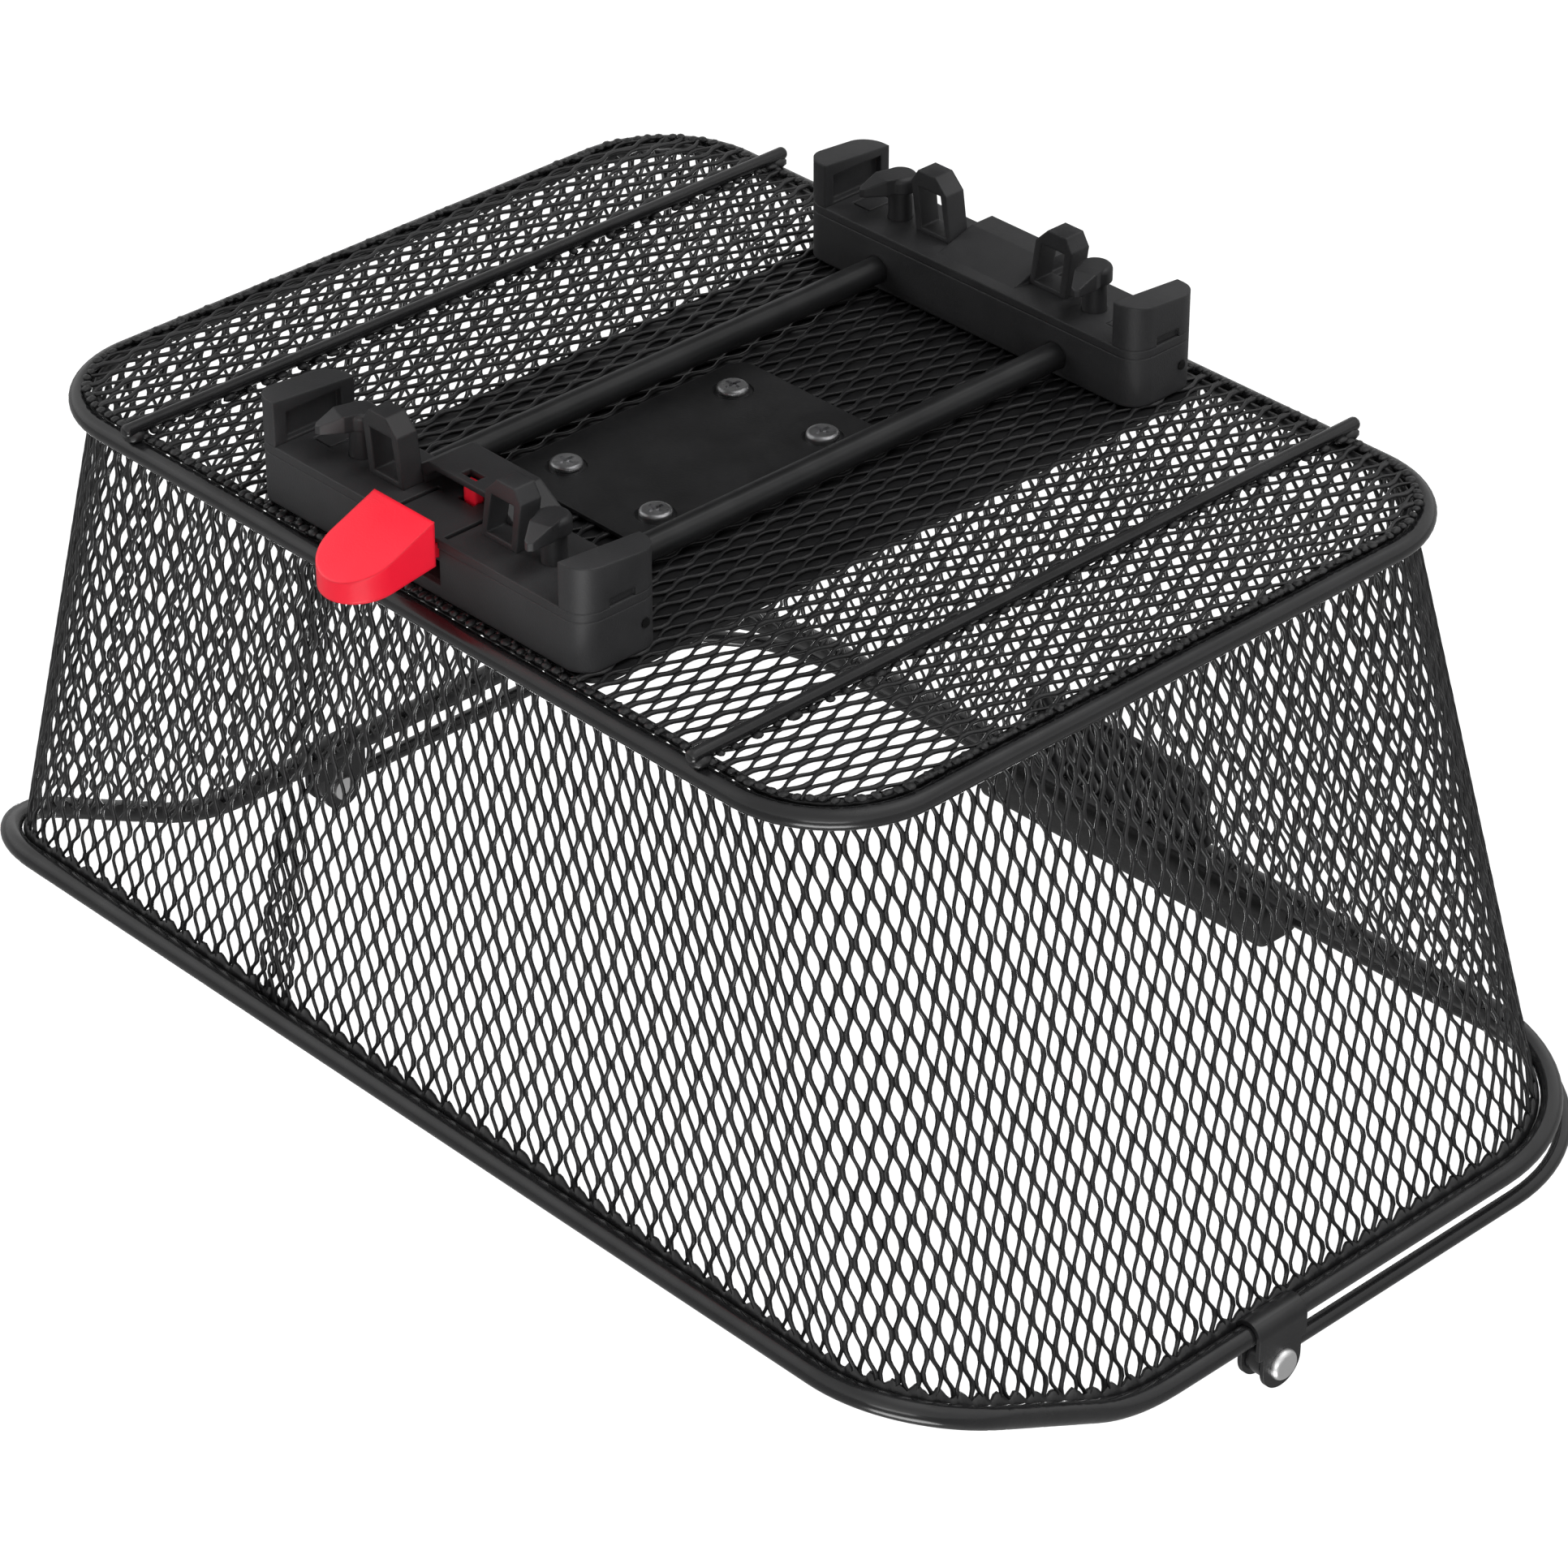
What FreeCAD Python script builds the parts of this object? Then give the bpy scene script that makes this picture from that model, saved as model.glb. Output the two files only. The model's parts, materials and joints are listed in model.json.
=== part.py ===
import FreeCAD, Part
import math
import os
import Sketcher
from FreeCAD import Placement, Rotation, Vector

# Wire-mesh rear-rack basket with a clip-on rack adapter.
# +Z up, +X to the basket's right, -Y towards the lever side.
# Z = 0 is the face of the adapter bars that rests on the rack tubes.

doc = FreeCAD.newDocument("rack_basket")
sheet = doc.addObject("Spreadsheet::Sheet", "dims")

VALUES = [
    ("ring_half_x", 160.7), ("ring_half_y", 120.9), ("ring_corner", 33.0),
    ("ring_level", 22.0), ("ring_wire_rad", 3.0),
    ("rim_half_x", 200.0), ("rim_front", 130.0), ("rim_rear", 165.0),
    ("rim_corner_front", 34.0), ("rim_corner_rear", 60.0),
    ("dip_start", 30.0), ("dip_rad", 66.0), ("dip_slope", 0.5), ("wall_rise", 1.0),
    ("rim_level", 215.9), ("rim_wire_rad", 3.3),
    ("sheet_thick", 1.2), ("wall_base_gap", 4.2), ("wall_rim_gap", 3.8),
    ("wall_low", 19.3), ("wall_high", 217.5),
    ("floor_low", 17.65), ("rail_x", 114.0), ("rail_level", 15.6),
    ("rail_wire_rad", 2.0), ("rail_end", 124.4),
    ("outer_plate_x", 30.0), ("outer_plate_front", 62.0), ("outer_plate_rear", 28.0),
    ("outer_plate_low", 16.35), ("outer_plate_corner", 6.0),
    ("inner_plate_x", 68.0), ("inner_plate_y", 115.2), ("inner_plate_low", 19.0),
    ("inner_plate_thick", 1.4), ("inner_plate_corner", 8.0),
    ("screw_x", 18.0), ("screw_front", 47.8), ("screw_rear", 13.8),
    ("screw_rad", 2.5), ("screw_hole_rad", 2.8), ("screw_head_rad", 4.7),
    ("screw_head_high", 2.4), ("dimple_rad", 5.8), ("dimple_deep", 0.5),
    ("washer_rad", 5.0), ("washer_thick", 1.0), ("nut_flats", 8.0), ("nut_high", 4.0),
    ("badge_x", 38.0), ("badge_high", 33.0), ("badge_thick", 1.4),
    ("badge_corner", 9.0), ("badge_level", 195.0), ("badge_out", 156.6),
    ("badge_lean", 12.65),
    ("bail_y", 9.0), ("bail_level", 227.8), ("bail_x", 199.4), ("bail_wire_rad", 2.5),
    ("bail_reach", 172.0), ("bail_corner", 60.0), ("eye_rad", 6.0),
    ("eye_half", 2.4), ("rivet_rad", 2.5), ("rivet_fit", 0.05),
    ("rivet_head_rad", 4.75), ("rivet_head_high", 2.2),
    ("grip_half", 60.0), ("grip_wide", 20.0), ("grip_high", 14.0), ("grip_shift", 5.0),
    ("strap_wide", 19.0), ("strap_in", 3.4), ("strap_thick", 1.4), ("strap_neck", 222.5),
    ("lobe_rad", 7.5), ("strap_slot", 20.0),
    ("bar_half", 66.0), ("bar_front", 116.5), ("bar_front_back", 88.6),
    ("bar_rear", 112.0), ("bar_rear_front", 86.4), ("bar_corner", 7.0),
    ("bar_high", 17.4), ("cover_high", 2.6), ("bar_wall", 2.0), ("bar_lid", 2.0),
    ("jaw_gap", 57.0), ("jaw_low", 11.1), ("jaw_high", 13.6), ("jaw_lip", 1.6),
    ("jaw_tongue", 5.0), ("notch_long", 9.0),
    ("tube_x", 35.5), ("mech_level", 11.6), ("tube_rad", 4.0), ("tube_bore", 3.0),
    ("tube_front", 92.0), ("tube_rear", 90.0), ("rod_rad", 2.5),
    ("claw_x", 38.5), ("claw_front_y", 101.5), ("claw_rear_y", 98.5),
    ("post_rad", 3.5), ("post_fit", 0.06), ("head_rad", 4.9), ("head_low", 14.0),
    ("head_high", 9.2), ("beak_long", 13.1), ("beak_lean", 17.7),
    ("pin_circle", 2.6), ("pin_rad", 1.1), ("pin_turn", 36.0), ("flange_rad", 5.2),
    ("shaft_top", 8.6), ("mech_half", 1.5), ("slot_half", 1.25),
    ("arch_in", 15.6), ("arch_out", 29.4), ("arch_low", 19.0), ("arch_depth", 7.0),
    ("arch_lean", 2.2), ("arch_front_y", 103.0), ("arch_rear_y", 99.6),
    ("hinge_y", 104.0), ("hinge_level", 5.4), ("hinge_pin_rad", 1.5),
    ("hub_rad", 3.8), ("hub_half", 8.3), ("crank_long", 6.316), ("crank_turn", 14.0),
    ("crank_rad", 1.9), ("crank_half", 4.6),
    ("lever_half", 12.0), ("lever_neck", 8.3), ("lever_root", 119.2), ("lever_tip", 146.0),
    ("yoke_half", 43.8), ("yoke_front", 109.2), ("yoke_back", 99.0),
    ("hood_half", 22.0), ("hood_top", 13.5), ("hood_high", 7.0),
    ("hood_front", 99.5), ("hood_back", 84.0), ("hood_wall", 1.6),
    ("flag_half", 2.4), ("flag_front", 97.0), ("flag_back", 94.2), ("flag_low", 4.9),
    ("mount_screw_x", 52.0), ("mount_screw_rad", 1.6), ("mount_boss_rad", 4.0),
]
V = dict(VALUES)
for number, (word, value) in enumerate(VALUES, start=1):
    sheet.set("A%d" % number, word)
    sheet.set("B%d" % number, str(value))
    sheet.setAlias("B%d" % number, word)
doc.recompute()

NODES = []
FRESH = {"n": 0}


def fresh(stem):
    FRESH["n"] += 1
    return "%s_%d" % (stem, FRESH["n"])


def bind(obj, prop, value):
    """Number or sheet expression onto one property."""
    if isinstance(value, str):
        obj.setExpression(prop, value)
    else:
        obj.setExpression(prop, "%r mm" % float(value)) if prop.startswith("Placement") \
            else setattr(obj, prop, value)


def place(obj, pos, axis=None, angle=0.0):
    if axis is not None:
        obj.Placement = Placement(Vector(0, 0, 0), Rotation(Vector(*axis), angle))
    for letter, value in zip("xyz", pos):
        if isinstance(value, str):
            obj.setExpression("Placement.Base." + letter, value)
        else:
            obj.setExpression("Placement.Base." + letter, "%r" % float(value))
    return obj


def cylinder(pos, radius, height, axis=None, angle=0.0):
    obj = doc.addObject("Part::Cylinder", fresh("cyl"))
    bind(obj, "Radius", radius)
    bind(obj, "Height", height)
    return place(obj, pos, axis, angle)


ALONG_X = ((0, 1, 0), 90.0)
ALONG_Y = ((1, 0, 0), -90.0)


def box(pos, size, axis=None, angle=0.0):
    obj = doc.addObject("Part::Box", fresh("box"))
    for prop, value in zip(("Length", "Width", "Height"), size):
        bind(obj, prop, value)
    return place(obj, pos, axis, angle)


def fuse(parts):
    obj = doc.addObject("Part::MultiFuse", fresh("fuse"))
    obj.Shapes = parts
    obj.Refine = True
    return obj


def cut(base, tool):
    obj = doc.addObject("Part::Cut", fresh("cut"))
    obj.Base = base
    obj.Tool = tool if not isinstance(tool, list) else fuse(tool)
    obj.Refine = True
    return obj


def common(base, tool):
    obj = doc.addObject("Part::Common", fresh("common"))
    obj.Base = base
    obj.Tool = tool
    obj.Refine = True
    return obj


def group(parts):
    obj = doc.addObject("Part::Compound", fresh("group"))
    obj.Links = parts
    return obj


def rounded_edges(base, radius, pick):
    """Fillet the edges of base whose middle point passes pick."""
    doc.recompute()
    numbers = []
    for index, edge in enumerate(base.Shape.Edges, start=1):
        middle = edge.valueAt(0.5 * (edge.FirstParameter + edge.LastParameter))
        if pick(edge, middle):
            numbers.append((index, radius, radius))
    obj = doc.addObject("Part::Fillet", fresh("round"))
    obj.Base = base
    obj.Edges = numbers
    return obj


def node(obj, label):
    obj.Label = label
    NODES.append(obj)
    return obj


def frame_plane(body, role):
    return [o for o in body.Origin.OriginFeatures if o.Role == role][0]


def new_sketch(body, role, offset=0.0):
    if body is None:
        obj = doc.addObject("Sketcher::SketchObject", fresh("outline"))
        return obj
    obj = body.newObject("Sketcher::SketchObject", fresh("outline"))
    obj.AttachmentSupport = [(frame_plane(body, role), "")]
    obj.MapMode = "FlatFace"
    obj.setExpression("AttachmentOffset.Base.z", offset if isinstance(offset, str) else "%r" % offset)
    return obj


def fix_point(sk, geo, point, kind, value, expr):
    number = sk.addConstraint(Sketcher.Constraint(kind, -1, 1, geo, point, value))
    sk.setExpression("Constraints[%d]" % number, expr)


def draw_rounded(sk, x0, x1, y0, y1, ra, rb, expr):
    """Rounded rectangle, ra at the y0 side and rb at the y1 side."""
    base = sk.GeometryCount
    corners = [(x1 - ra, y0 + ra, ra, -0.5), (x1 - rb, y1 - rb, rb, 0.0),
               (x0 + rb, y1 - rb, rb, 0.5), (x0 + ra, y0 + ra, ra, 1.0)]
    lines = [((x0 + ra, y0), (x1 - ra, y0)), ((x1, y0 + ra), (x1, y1 - rb)),
             ((x1 - rb, y1), (x0 + rb, y1)), ((x0, y1 - rb), (x0, y0 + ra))]
    for line, arc in zip(lines, corners):
        start = Vector(line[0][0], line[0][1], 0)
        end = Vector(line[1][0], line[1][1], 0)
        sk.addGeometry(Part.LineSegment(start, end), False)
        circle = Part.Circle(Vector(arc[0], arc[1], 0), Vector(0, 0, 1), arc[2])
        sk.addGeometry(Part.ArcOfCircle(circle, arc[3] * math.pi, (arc[3] + 0.5) * math.pi), False)
    for i in range(8):
        sk.addConstraint(Sketcher.Constraint("Tangent", base + i, 2, base + (i + 1) % 8, 1))
    for i in (0, 4):
        sk.addConstraint(Sketcher.Constraint("Horizontal", base + i))
    for i in (2, 6):
        sk.addConstraint(Sketcher.Constraint("Vertical", base + i))
    fix_point(sk, base + 6, 1, "DistanceX", x0, expr[0])
    fix_point(sk, base + 2, 1, "DistanceX", x1, expr[1])
    fix_point(sk, base + 0, 1, "DistanceY", y0, expr[2])
    fix_point(sk, base + 4, 1, "DistanceY", y1, expr[3])
    sk.addConstraint(Sketcher.Constraint("Equal", base + 1, base + 7))
    sk.addConstraint(Sketcher.Constraint("Equal", base + 3, base + 5))
    for arc, radius, text in ((1, ra, expr[4]), (3, rb, expr[5])):
        number = sk.addConstraint(Sketcher.Constraint("Radius", base + arc, radius))
        sk.setExpression("Constraints[%d]" % number, text)
    return sk


def draw_polygon(sk, points):
    """Closed polygon; every point is (x, y, x expression, y expression)."""
    base = sk.GeometryCount
    count = len(points)
    for i in range(count):
        a = points[i]
        b = points[(i + 1) % count]
        sk.addGeometry(Part.LineSegment(Vector(a[0], a[1], 0), Vector(b[0], b[1], 0)), False)
    for i in range(count):
        sk.addConstraint(Sketcher.Constraint("Coincident", base + i, 2, base + (i + 1) % count, 1))
    for i, p in enumerate(points):
        fix_point(sk, base + i, 1, "DistanceX", p[0], p[2])
        fix_point(sk, base + i, 1, "DistanceY", p[1], p[3])
    return sk


def draw_circle(sk, x, y, radius, ex, ey, er):
    number = sk.addGeometry(Part.Circle(Vector(x, y, 0), Vector(0, 0, 1), radius), False)
    fix_point(sk, number, 3, "DistanceX", x, ex)
    fix_point(sk, number, 3, "DistanceY", y, ey)
    spot = sk.addConstraint(Sketcher.Constraint("Radius", number, radius))
    sk.setExpression("Constraints[%d]" % spot, er)


def plain_rect(sk, x0, x1, y0, y1, expr):
    draw_polygon(sk, [(x0, y0, expr[0], expr[2]), (x1, y0, expr[1], expr[2]),
                      (x1, y1, expr[1], expr[3]), (x0, y1, expr[0], expr[3])])


def pad(body, sk, length):
    obj = body.newObject("PartDesign::Pad", fresh("pad"))
    obj.Profile = sk
    bind(obj, "Length", length)
    sk.Visibility = False
    doc.recompute()
    return obj


def pocket(body, sk, length):
    """Pocket that must remove material; the direction is turned if it does not."""
    before = body.Shape.Volume
    obj = body.newObject("PartDesign::Pocket", fresh("pocket"))
    obj.Profile = sk
    bind(obj, "Length", length)
    doc.recompute()
    if body.Shape.Volume > before - 1e-3:
        obj.Reversed = True
        doc.recompute()
    if body.Shape.Volume > before - 1e-3:
        raise RuntimeError("pocket removes nothing: " + obj.Name)
    return obj


def new_body(label):
    body = doc.addObject("PartDesign::Body", fresh("body"))
    return node(body, label)


def sweep(path_sketch, radius, start, axis, angle):
    """Round wire of the given radius along the path sketch."""
    section = doc.addObject("Part::Circle", fresh("section"))
    section.setExpression("Radius", radius)
    place(section, start, axis, angle)
    doc.recompute()
    obj = doc.addObject("Part::Sweep", fresh("wire"))
    obj.Sections = [section]
    obj.Spine = (path_sketch, ["Edge%d" % (i + 1) for i in range(len(path_sketch.Shape.Edges))])
    obj.Solid = True
    obj.Frenet = False
    return obj


def d(word):
    return "dims." + word


# ---------------------------------------------------------------- basket wires
ring_path = new_sketch(None, "")
ring_path.setExpression("Placement.Base.z", d("ring_level"))
draw_rounded(ring_path, -V["ring_half_x"], V["ring_half_x"], -V["ring_half_y"], V["ring_half_y"],
             V["ring_corner"], V["ring_corner"],
             ["-dims.ring_half_x", "dims.ring_half_x", "-dims.ring_half_y", "dims.ring_half_y",
              "dims.ring_corner", "dims.ring_corner"])
node(sweep(ring_path, d("ring_wire_rad"), (0, "-dims.ring_half_y", d("ring_level")), *ALONG_X),
     "base_ring")

def dip(y):
    """Height lost by the rim at y on its long way to the low front side."""
    run = max(0.0, -V["dip_start"] - y)
    bend = math.atan(V["dip_slope"])
    if run <= V["dip_rad"] * math.sin(bend):
        return V["dip_rad"] - math.sqrt(V["dip_rad"] ** 2 - run ** 2)
    bent = V["dip_rad"] * (1.0 - math.cos(bend))
    return bent + (run - V["dip_rad"] * math.sin(bend)) * V["dip_slope"]


def rim_edges(gap, lift, low):
    """Closed rim outline inset by gap and raised by lift, as eight edges.
    Heights are given above low. The order starts with the right front corner."""
    x, front, rear = V["rim_half_x"] - gap, -V["rim_front"] + gap, V["rim_rear"] - gap
    rf, rr = V["rim_corner_front"] - gap, V["rim_corner_rear"] - gap
    top = V["rim_level"] + lift - low
    turn_y = front + rf
    full = V["rim_corner_front"] * math.pi / 2.0
    drop = dip(-V["rim_front"] + V["rim_corner_front"])
    last = drop + V["dip_slope"] * full / 2.0

    def spline(points):
        curve = Part.BSplineCurve()
        curve.interpolate(points)
        return curve.toShape()

    def half(sx):
        corner = []
        for i in range(13):
            t = i / 12.0
            angle = -t * math.pi / 2.0
            height = top - (drop + (last - drop) * (1.0 - (1.0 - t) ** 2))
            corner.append(Vector(sx * (x - rf + rf * math.cos(angle)),
                                 turn_y + rf * math.sin(angle), height))
        slope = []
        for i in range(17):
            y = -V["dip_start"] + (turn_y + V["dip_start"]) * i / 16.0
            slope.append(Vector(sx * x, y, top - dip(y)))
        slope[-1] = corner[0]
        side = Part.makeLine(Vector(sx * x, rear - rr, top), slope[0])
        bend = rr * math.sqrt(0.5)
        arc = Part.Arc(Vector(sx * (x - rr), rear, top),
                       Vector(sx * (x - rr + bend), rear - rr + bend, top),
                       Vector(sx * x, rear - rr, top)).toShape()
        return spline(corner), spline(slope), side, arc, corner[-1]

    corner_r, slope_r, side_r, arc_r, end_r = half(1.0)
    corner_l, slope_l, side_l, arc_l, end_l = half(-1.0)
    rear_side = Part.makeLine(Vector(-x + rr, rear, top), Vector(x - rr, rear, top))
    return {"corner_fr": [corner_r], "right": [side_r, slope_r], "corner_rr": [arc_r],
            "rear": [rear_side], "corner_rl": [arc_l], "left": [side_l, slope_l],
            "corner_fl": [corner_l], "front": [Part.makeLine(end_l, end_r)]}


def ring_at(point, along):
    """Round section of the rim wire at a point, facing along."""
    side = Vector(0, 0, 1).cross(along).normalize()
    over = along.cross(side)
    ring = Part.makeCircle(V["rim_wire_rad"])
    ring.Placement = Placement(point, Rotation(side, over, along, "ZXY"))
    return Part.Wire([ring])


def through(points, first, last):
    """Wire body through points; first and last are its end directions."""
    rings = []
    for i, point in enumerate(points):
        if i == 0:
            along = first
        elif i == len(points) - 1:
            along = last
        else:
            along = points[i + 1] - points[i - 1]
        rings.append(ring_at(point, Vector(along).normalize()))
    return Part.makeLoft(rings, True, False)


rim_r = V["rim_wire_rad"]
rim_shape = rim_edges(0.0, -V["rim_level"], 0.0)
rim_solids = []
front_line = rim_shape["front"][0]
rear_line = rim_shape["rear"][0]
for line in (front_line, rear_line):
    a, b = line.Vertexes[0].Point, line.Vertexes[-1].Point
    rim_solids.append(Part.makeCylinder(rim_r, a.distanceToPoint(b), a, b - a))
for sx, slope_key, corner_key in ((1.0, "right", "corner_fr"), (-1.0, "left", "corner_fl")):
    x, rear, rr = sx * V["rim_half_x"], V["rim_rear"], V["rim_corner_rear"]
    long_side = rear - rr + V["dip_start"]
    rim_solids.append(Part.makeCylinder(rim_r, long_side, Vector(x, -V["dip_start"], 0),
                                        Vector(0, 1, 0)))
    disc = Part.Face(ring_at(Vector(x, rear - rr, 0), Vector(0, 1, 0)))
    rim_solids.append(disc.revolve(Vector(x - sx * rr, rear - rr, 0), Vector(0, 0, 1), sx * 90.0))
    fall = Vector(0, -1.0, -V["dip_slope"]).normalize()
    slope_points = rim_shape[slope_key][1].discretize(Number=15)
    if slope_points[0].y < slope_points[-1].y:
        slope_points.reverse()
    rim_solids.append(through(slope_points, Vector(0, -1, 0), fall))
    corner_points = rim_shape[corner_key][0].discretize(Number=11)
    if corner_points[0].y < corner_points[-1].y:
        corner_points.reverse()
    rim_solids.append(through(corner_points, fall, Vector(-sx, 0, 0)))
rim_wire = doc.addObject("Part::Feature", "rim_body")
rim_wire.Shape = rim_solids[0].fuse(rim_solids[1:]).removeSplitter()
rim_wire.setExpression("Placement.Base.z", d("rim_level"))
node(rim_wire, "rim_wire")


# ---------------------------------------------------------------- mesh skins
def ring_edges(gap):
    """Outline of the wall at the base ring inset by gap, as eight edges."""
    x, y, r = V["ring_half_x"] - gap, V["ring_half_y"] - gap, V["ring_corner"] - gap
    bend = r * math.sqrt(0.5)

    def arc(sx, sy):
        middle = Vector(sx * (x - r + bend), sy * (y - r + bend), 0)
        return Part.Arc(Vector(sx * x, sy * (y - r), 0), middle,
                        Vector(sx * (x - r), sy * y, 0)).toShape()

    return {"corner_fr": arc(1, -1), "right": Part.makeLine(Vector(x, y - r, 0), Vector(x, -y + r, 0)),
            "corner_rr": arc(1, 1), "rear": Part.makeLine(Vector(-x + r, y, 0), Vector(x - r, y, 0)),
            "corner_rl": arc(-1, 1), "left": Part.makeLine(Vector(-x, y - r, 0), Vector(-x, -y + r, 0)),
            "corner_fl": arc(-1, -1), "front": Part.makeLine(Vector(x - r, -y, 0), Vector(-x + r, -y, 0))}


def ends(edges):
    points = [v.Point for e in edges for v in e.Vertexes]
    far = max(((a.distanceToPoint(b), i, j) for i, a in enumerate(points)
               for j, b in enumerate(points)), key=lambda item: item[0])
    return points[far[1]], points[far[2]]


def samples(edges, start, count):
    """Points along connected edges, evenly spaced, from the end nearest start."""
    wire = Part.Wire(Part.__sortEdges__(edges)) if len(edges) > 1 else Part.Wire(edges)
    points = wire.discretize(Number=count)
    if points[0].distanceToPoint(start) > points[-1].distanceToPoint(start):
        points.reverse()
    return points


def wall_piece(name, steps):
    """One wall or corner of the skin as a solid bounded by ruled faces."""
    low = V["wall_low"]
    lift = V["wall_rise"]
    loops = {}
    for key, extra in (("out", 0.0), ("in", V["sheet_thick"])):
        foot = [ring_edges(V["wall_base_gap"] + extra)[name]]
        head = rim_edges(V["wall_rim_gap"] + extra, lift, low)[name]
        start = ends(foot)[0]
        loops[key] = (samples(foot, start, steps), samples(head, start, steps))

    def curve(points):
        if len(points) == 2:
            return Part.makeLine(points[0], points[1])
        shape = Part.BSplineCurve()
        shape.interpolate(points)
        return shape.toShape()

    def block(k0, k1):
        """Solid between two steps of the loops."""
        rows = {}
        for key, (foot, head) in loops.items():
            rows[key] = (curve(foot[k0:k1 + 1]), curve(head[k0:k1 + 1]))
        faces = [Part.makeRuledSurface(rows["out"][0], rows["out"][1]),
                 Part.makeRuledSurface(rows["in"][0], rows["in"][1]),
                 Part.makeRuledSurface(rows["out"][0], rows["in"][0]),
                 Part.makeRuledSurface(rows["out"][1], rows["in"][1])]
        for k in (k0, k1):
            a, b = loops["out"][0][k], loops["out"][1][k]
            c, e = loops["in"][0][k], loops["in"][1][k]
            faces.append(Part.makeRuledSurface(Part.makeLine(a, b), Part.makeLine(c, e)))
        shell = Part.Shell(faces)
        shell.sewShape()
        solid = Part.makeSolid(Part.Shell(shell.Faces))
        if solid.Volume < 0:
            solid.reverse()
        return solid

    if name in ("corner_fl", "corner_fr"):
        face = Part.makeRuledSurface(curve(loops["out"][0]), curve(loops["out"][1]))
        trials = [face.makeOffsetShape(way * V["sheet_thick"], 0.001, False, False, 0, 0, True)
                  for way in (1.0, -1.0)]
        solid = min(trials, key=lambda trial: trial.Volume)
    else:
        solid = block(0, steps - 1)
    obj = doc.addObject("Part::Feature", "skin_" + name)
    obj.Shape = solid
    obj.setExpression("Placement.Base.z", d("wall_low"))
    return obj


for name in ("front", "rear", "corner_fl", "corner_fr", "corner_rl", "corner_rr"):
    steps = 2 if name in ("front", "rear") else 13
    node(wall_piece(name, steps), "mesh_" + name)
for side, name in ((-1, "left"), (1, "right")):
    x_pos = "dims.rim_half_x - 8" if side > 0 else "-dims.rim_half_x - 2"
    slot = box((x_pos, "dims.bail_y - dims.strap_slot / 2", "dims.rim_level - 6"),
               (10.0, d("strap_slot"), 12.0))
    node(cut(wall_piece(name, 41), slot), "mesh_" + name)

body = new_body("floor_mesh")
sk = new_sketch(body, "XY_Plane", d("floor_low"))
draw_rounded(sk, -V["ring_half_x"], V["ring_half_x"], -V["ring_half_y"], V["ring_half_y"],
             V["ring_corner"], V["ring_corner"],
             ["-dims.ring_half_x", "dims.ring_half_x", "-dims.ring_half_y", "dims.ring_half_y",
              "dims.ring_corner", "dims.ring_corner"])
pad(body, sk, d("sheet_thick"))
sk = new_sketch(body, "XY_Plane", d("floor_low"))
for sx in (-1, 1):
    for y_sign, word in ((-1, "screw_front"), (1, "screw_rear")):
        draw_circle(sk, sx * V["screw_x"], y_sign * V[word], V["screw_hole_rad"],
                    "%d * dims.screw_x" % sx, "%d * dims.%s" % (y_sign, word), d("screw_hole_rad"))
    for y_val, word in ((-V["claw_front_y"] - 1, "-dims.claw_front_y - 1"),
                        (V["claw_rear_y"] + 1, "dims.claw_rear_y + 1")):
        draw_circle(sk, sx * V["mount_screw_x"], y_val, V["mount_screw_rad"] + 0.4,
                    "%d * dims.mount_screw_x" % sx, word, "dims.mount_screw_rad + 0.4")
pocket(body, sk, 3.0)


# ---------------------------------------------------------------- floor rails
def rail(side, label):
    wire = cylinder(("%d * dims.rail_x" % side, "-dims.rail_end", d("rail_level")),
                    d("rail_wire_rad"), "2 * dims.rail_end", *ALONG_Y)
    node(rounded_edges(wire, 1.4, lambda e, m: abs(abs(m.y) - V["rail_end"]) < 0.01), label)


rail(-1, "floor_rail_left")
rail(1, "floor_rail_right")


# ---------------------------------------------------------------- floor plates
def plate_holes(sk, radius_word, extra=0.0):
    for sx in (-1, 1):
        for y_sign, word in ((-1, "screw_front"), (1, "screw_rear")):
            draw_circle(sk, sx * V["screw_x"], y_sign * V[word], V[radius_word] + extra,
                        "%d * dims.screw_x" % sx, "%d * dims.%s" % (y_sign, word), d(radius_word))


body = new_body("outer_floor_plate")
sk = new_sketch(body, "XY_Plane", d("outer_plate_low"))
draw_rounded(sk, -V["outer_plate_x"], V["outer_plate_x"], -V["outer_plate_front"],
             V["outer_plate_rear"], V["outer_plate_corner"], V["outer_plate_corner"],
             ["-dims.outer_plate_x", "dims.outer_plate_x", "-dims.outer_plate_front",
              "dims.outer_plate_rear", "dims.outer_plate_corner", "dims.outer_plate_corner"])
pad(body, sk, d("sheet_thick"))
sk = new_sketch(body, "XY_Plane", d("outer_plate_low"))
plate_holes(sk, "screw_hole_rad")
pocket(body, sk, 3.0)
sk = new_sketch(body, "XY_Plane", d("outer_plate_low"))
plate_holes(sk, "dimple_rad")
pocket(body, sk, d("dimple_deep"))

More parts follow.
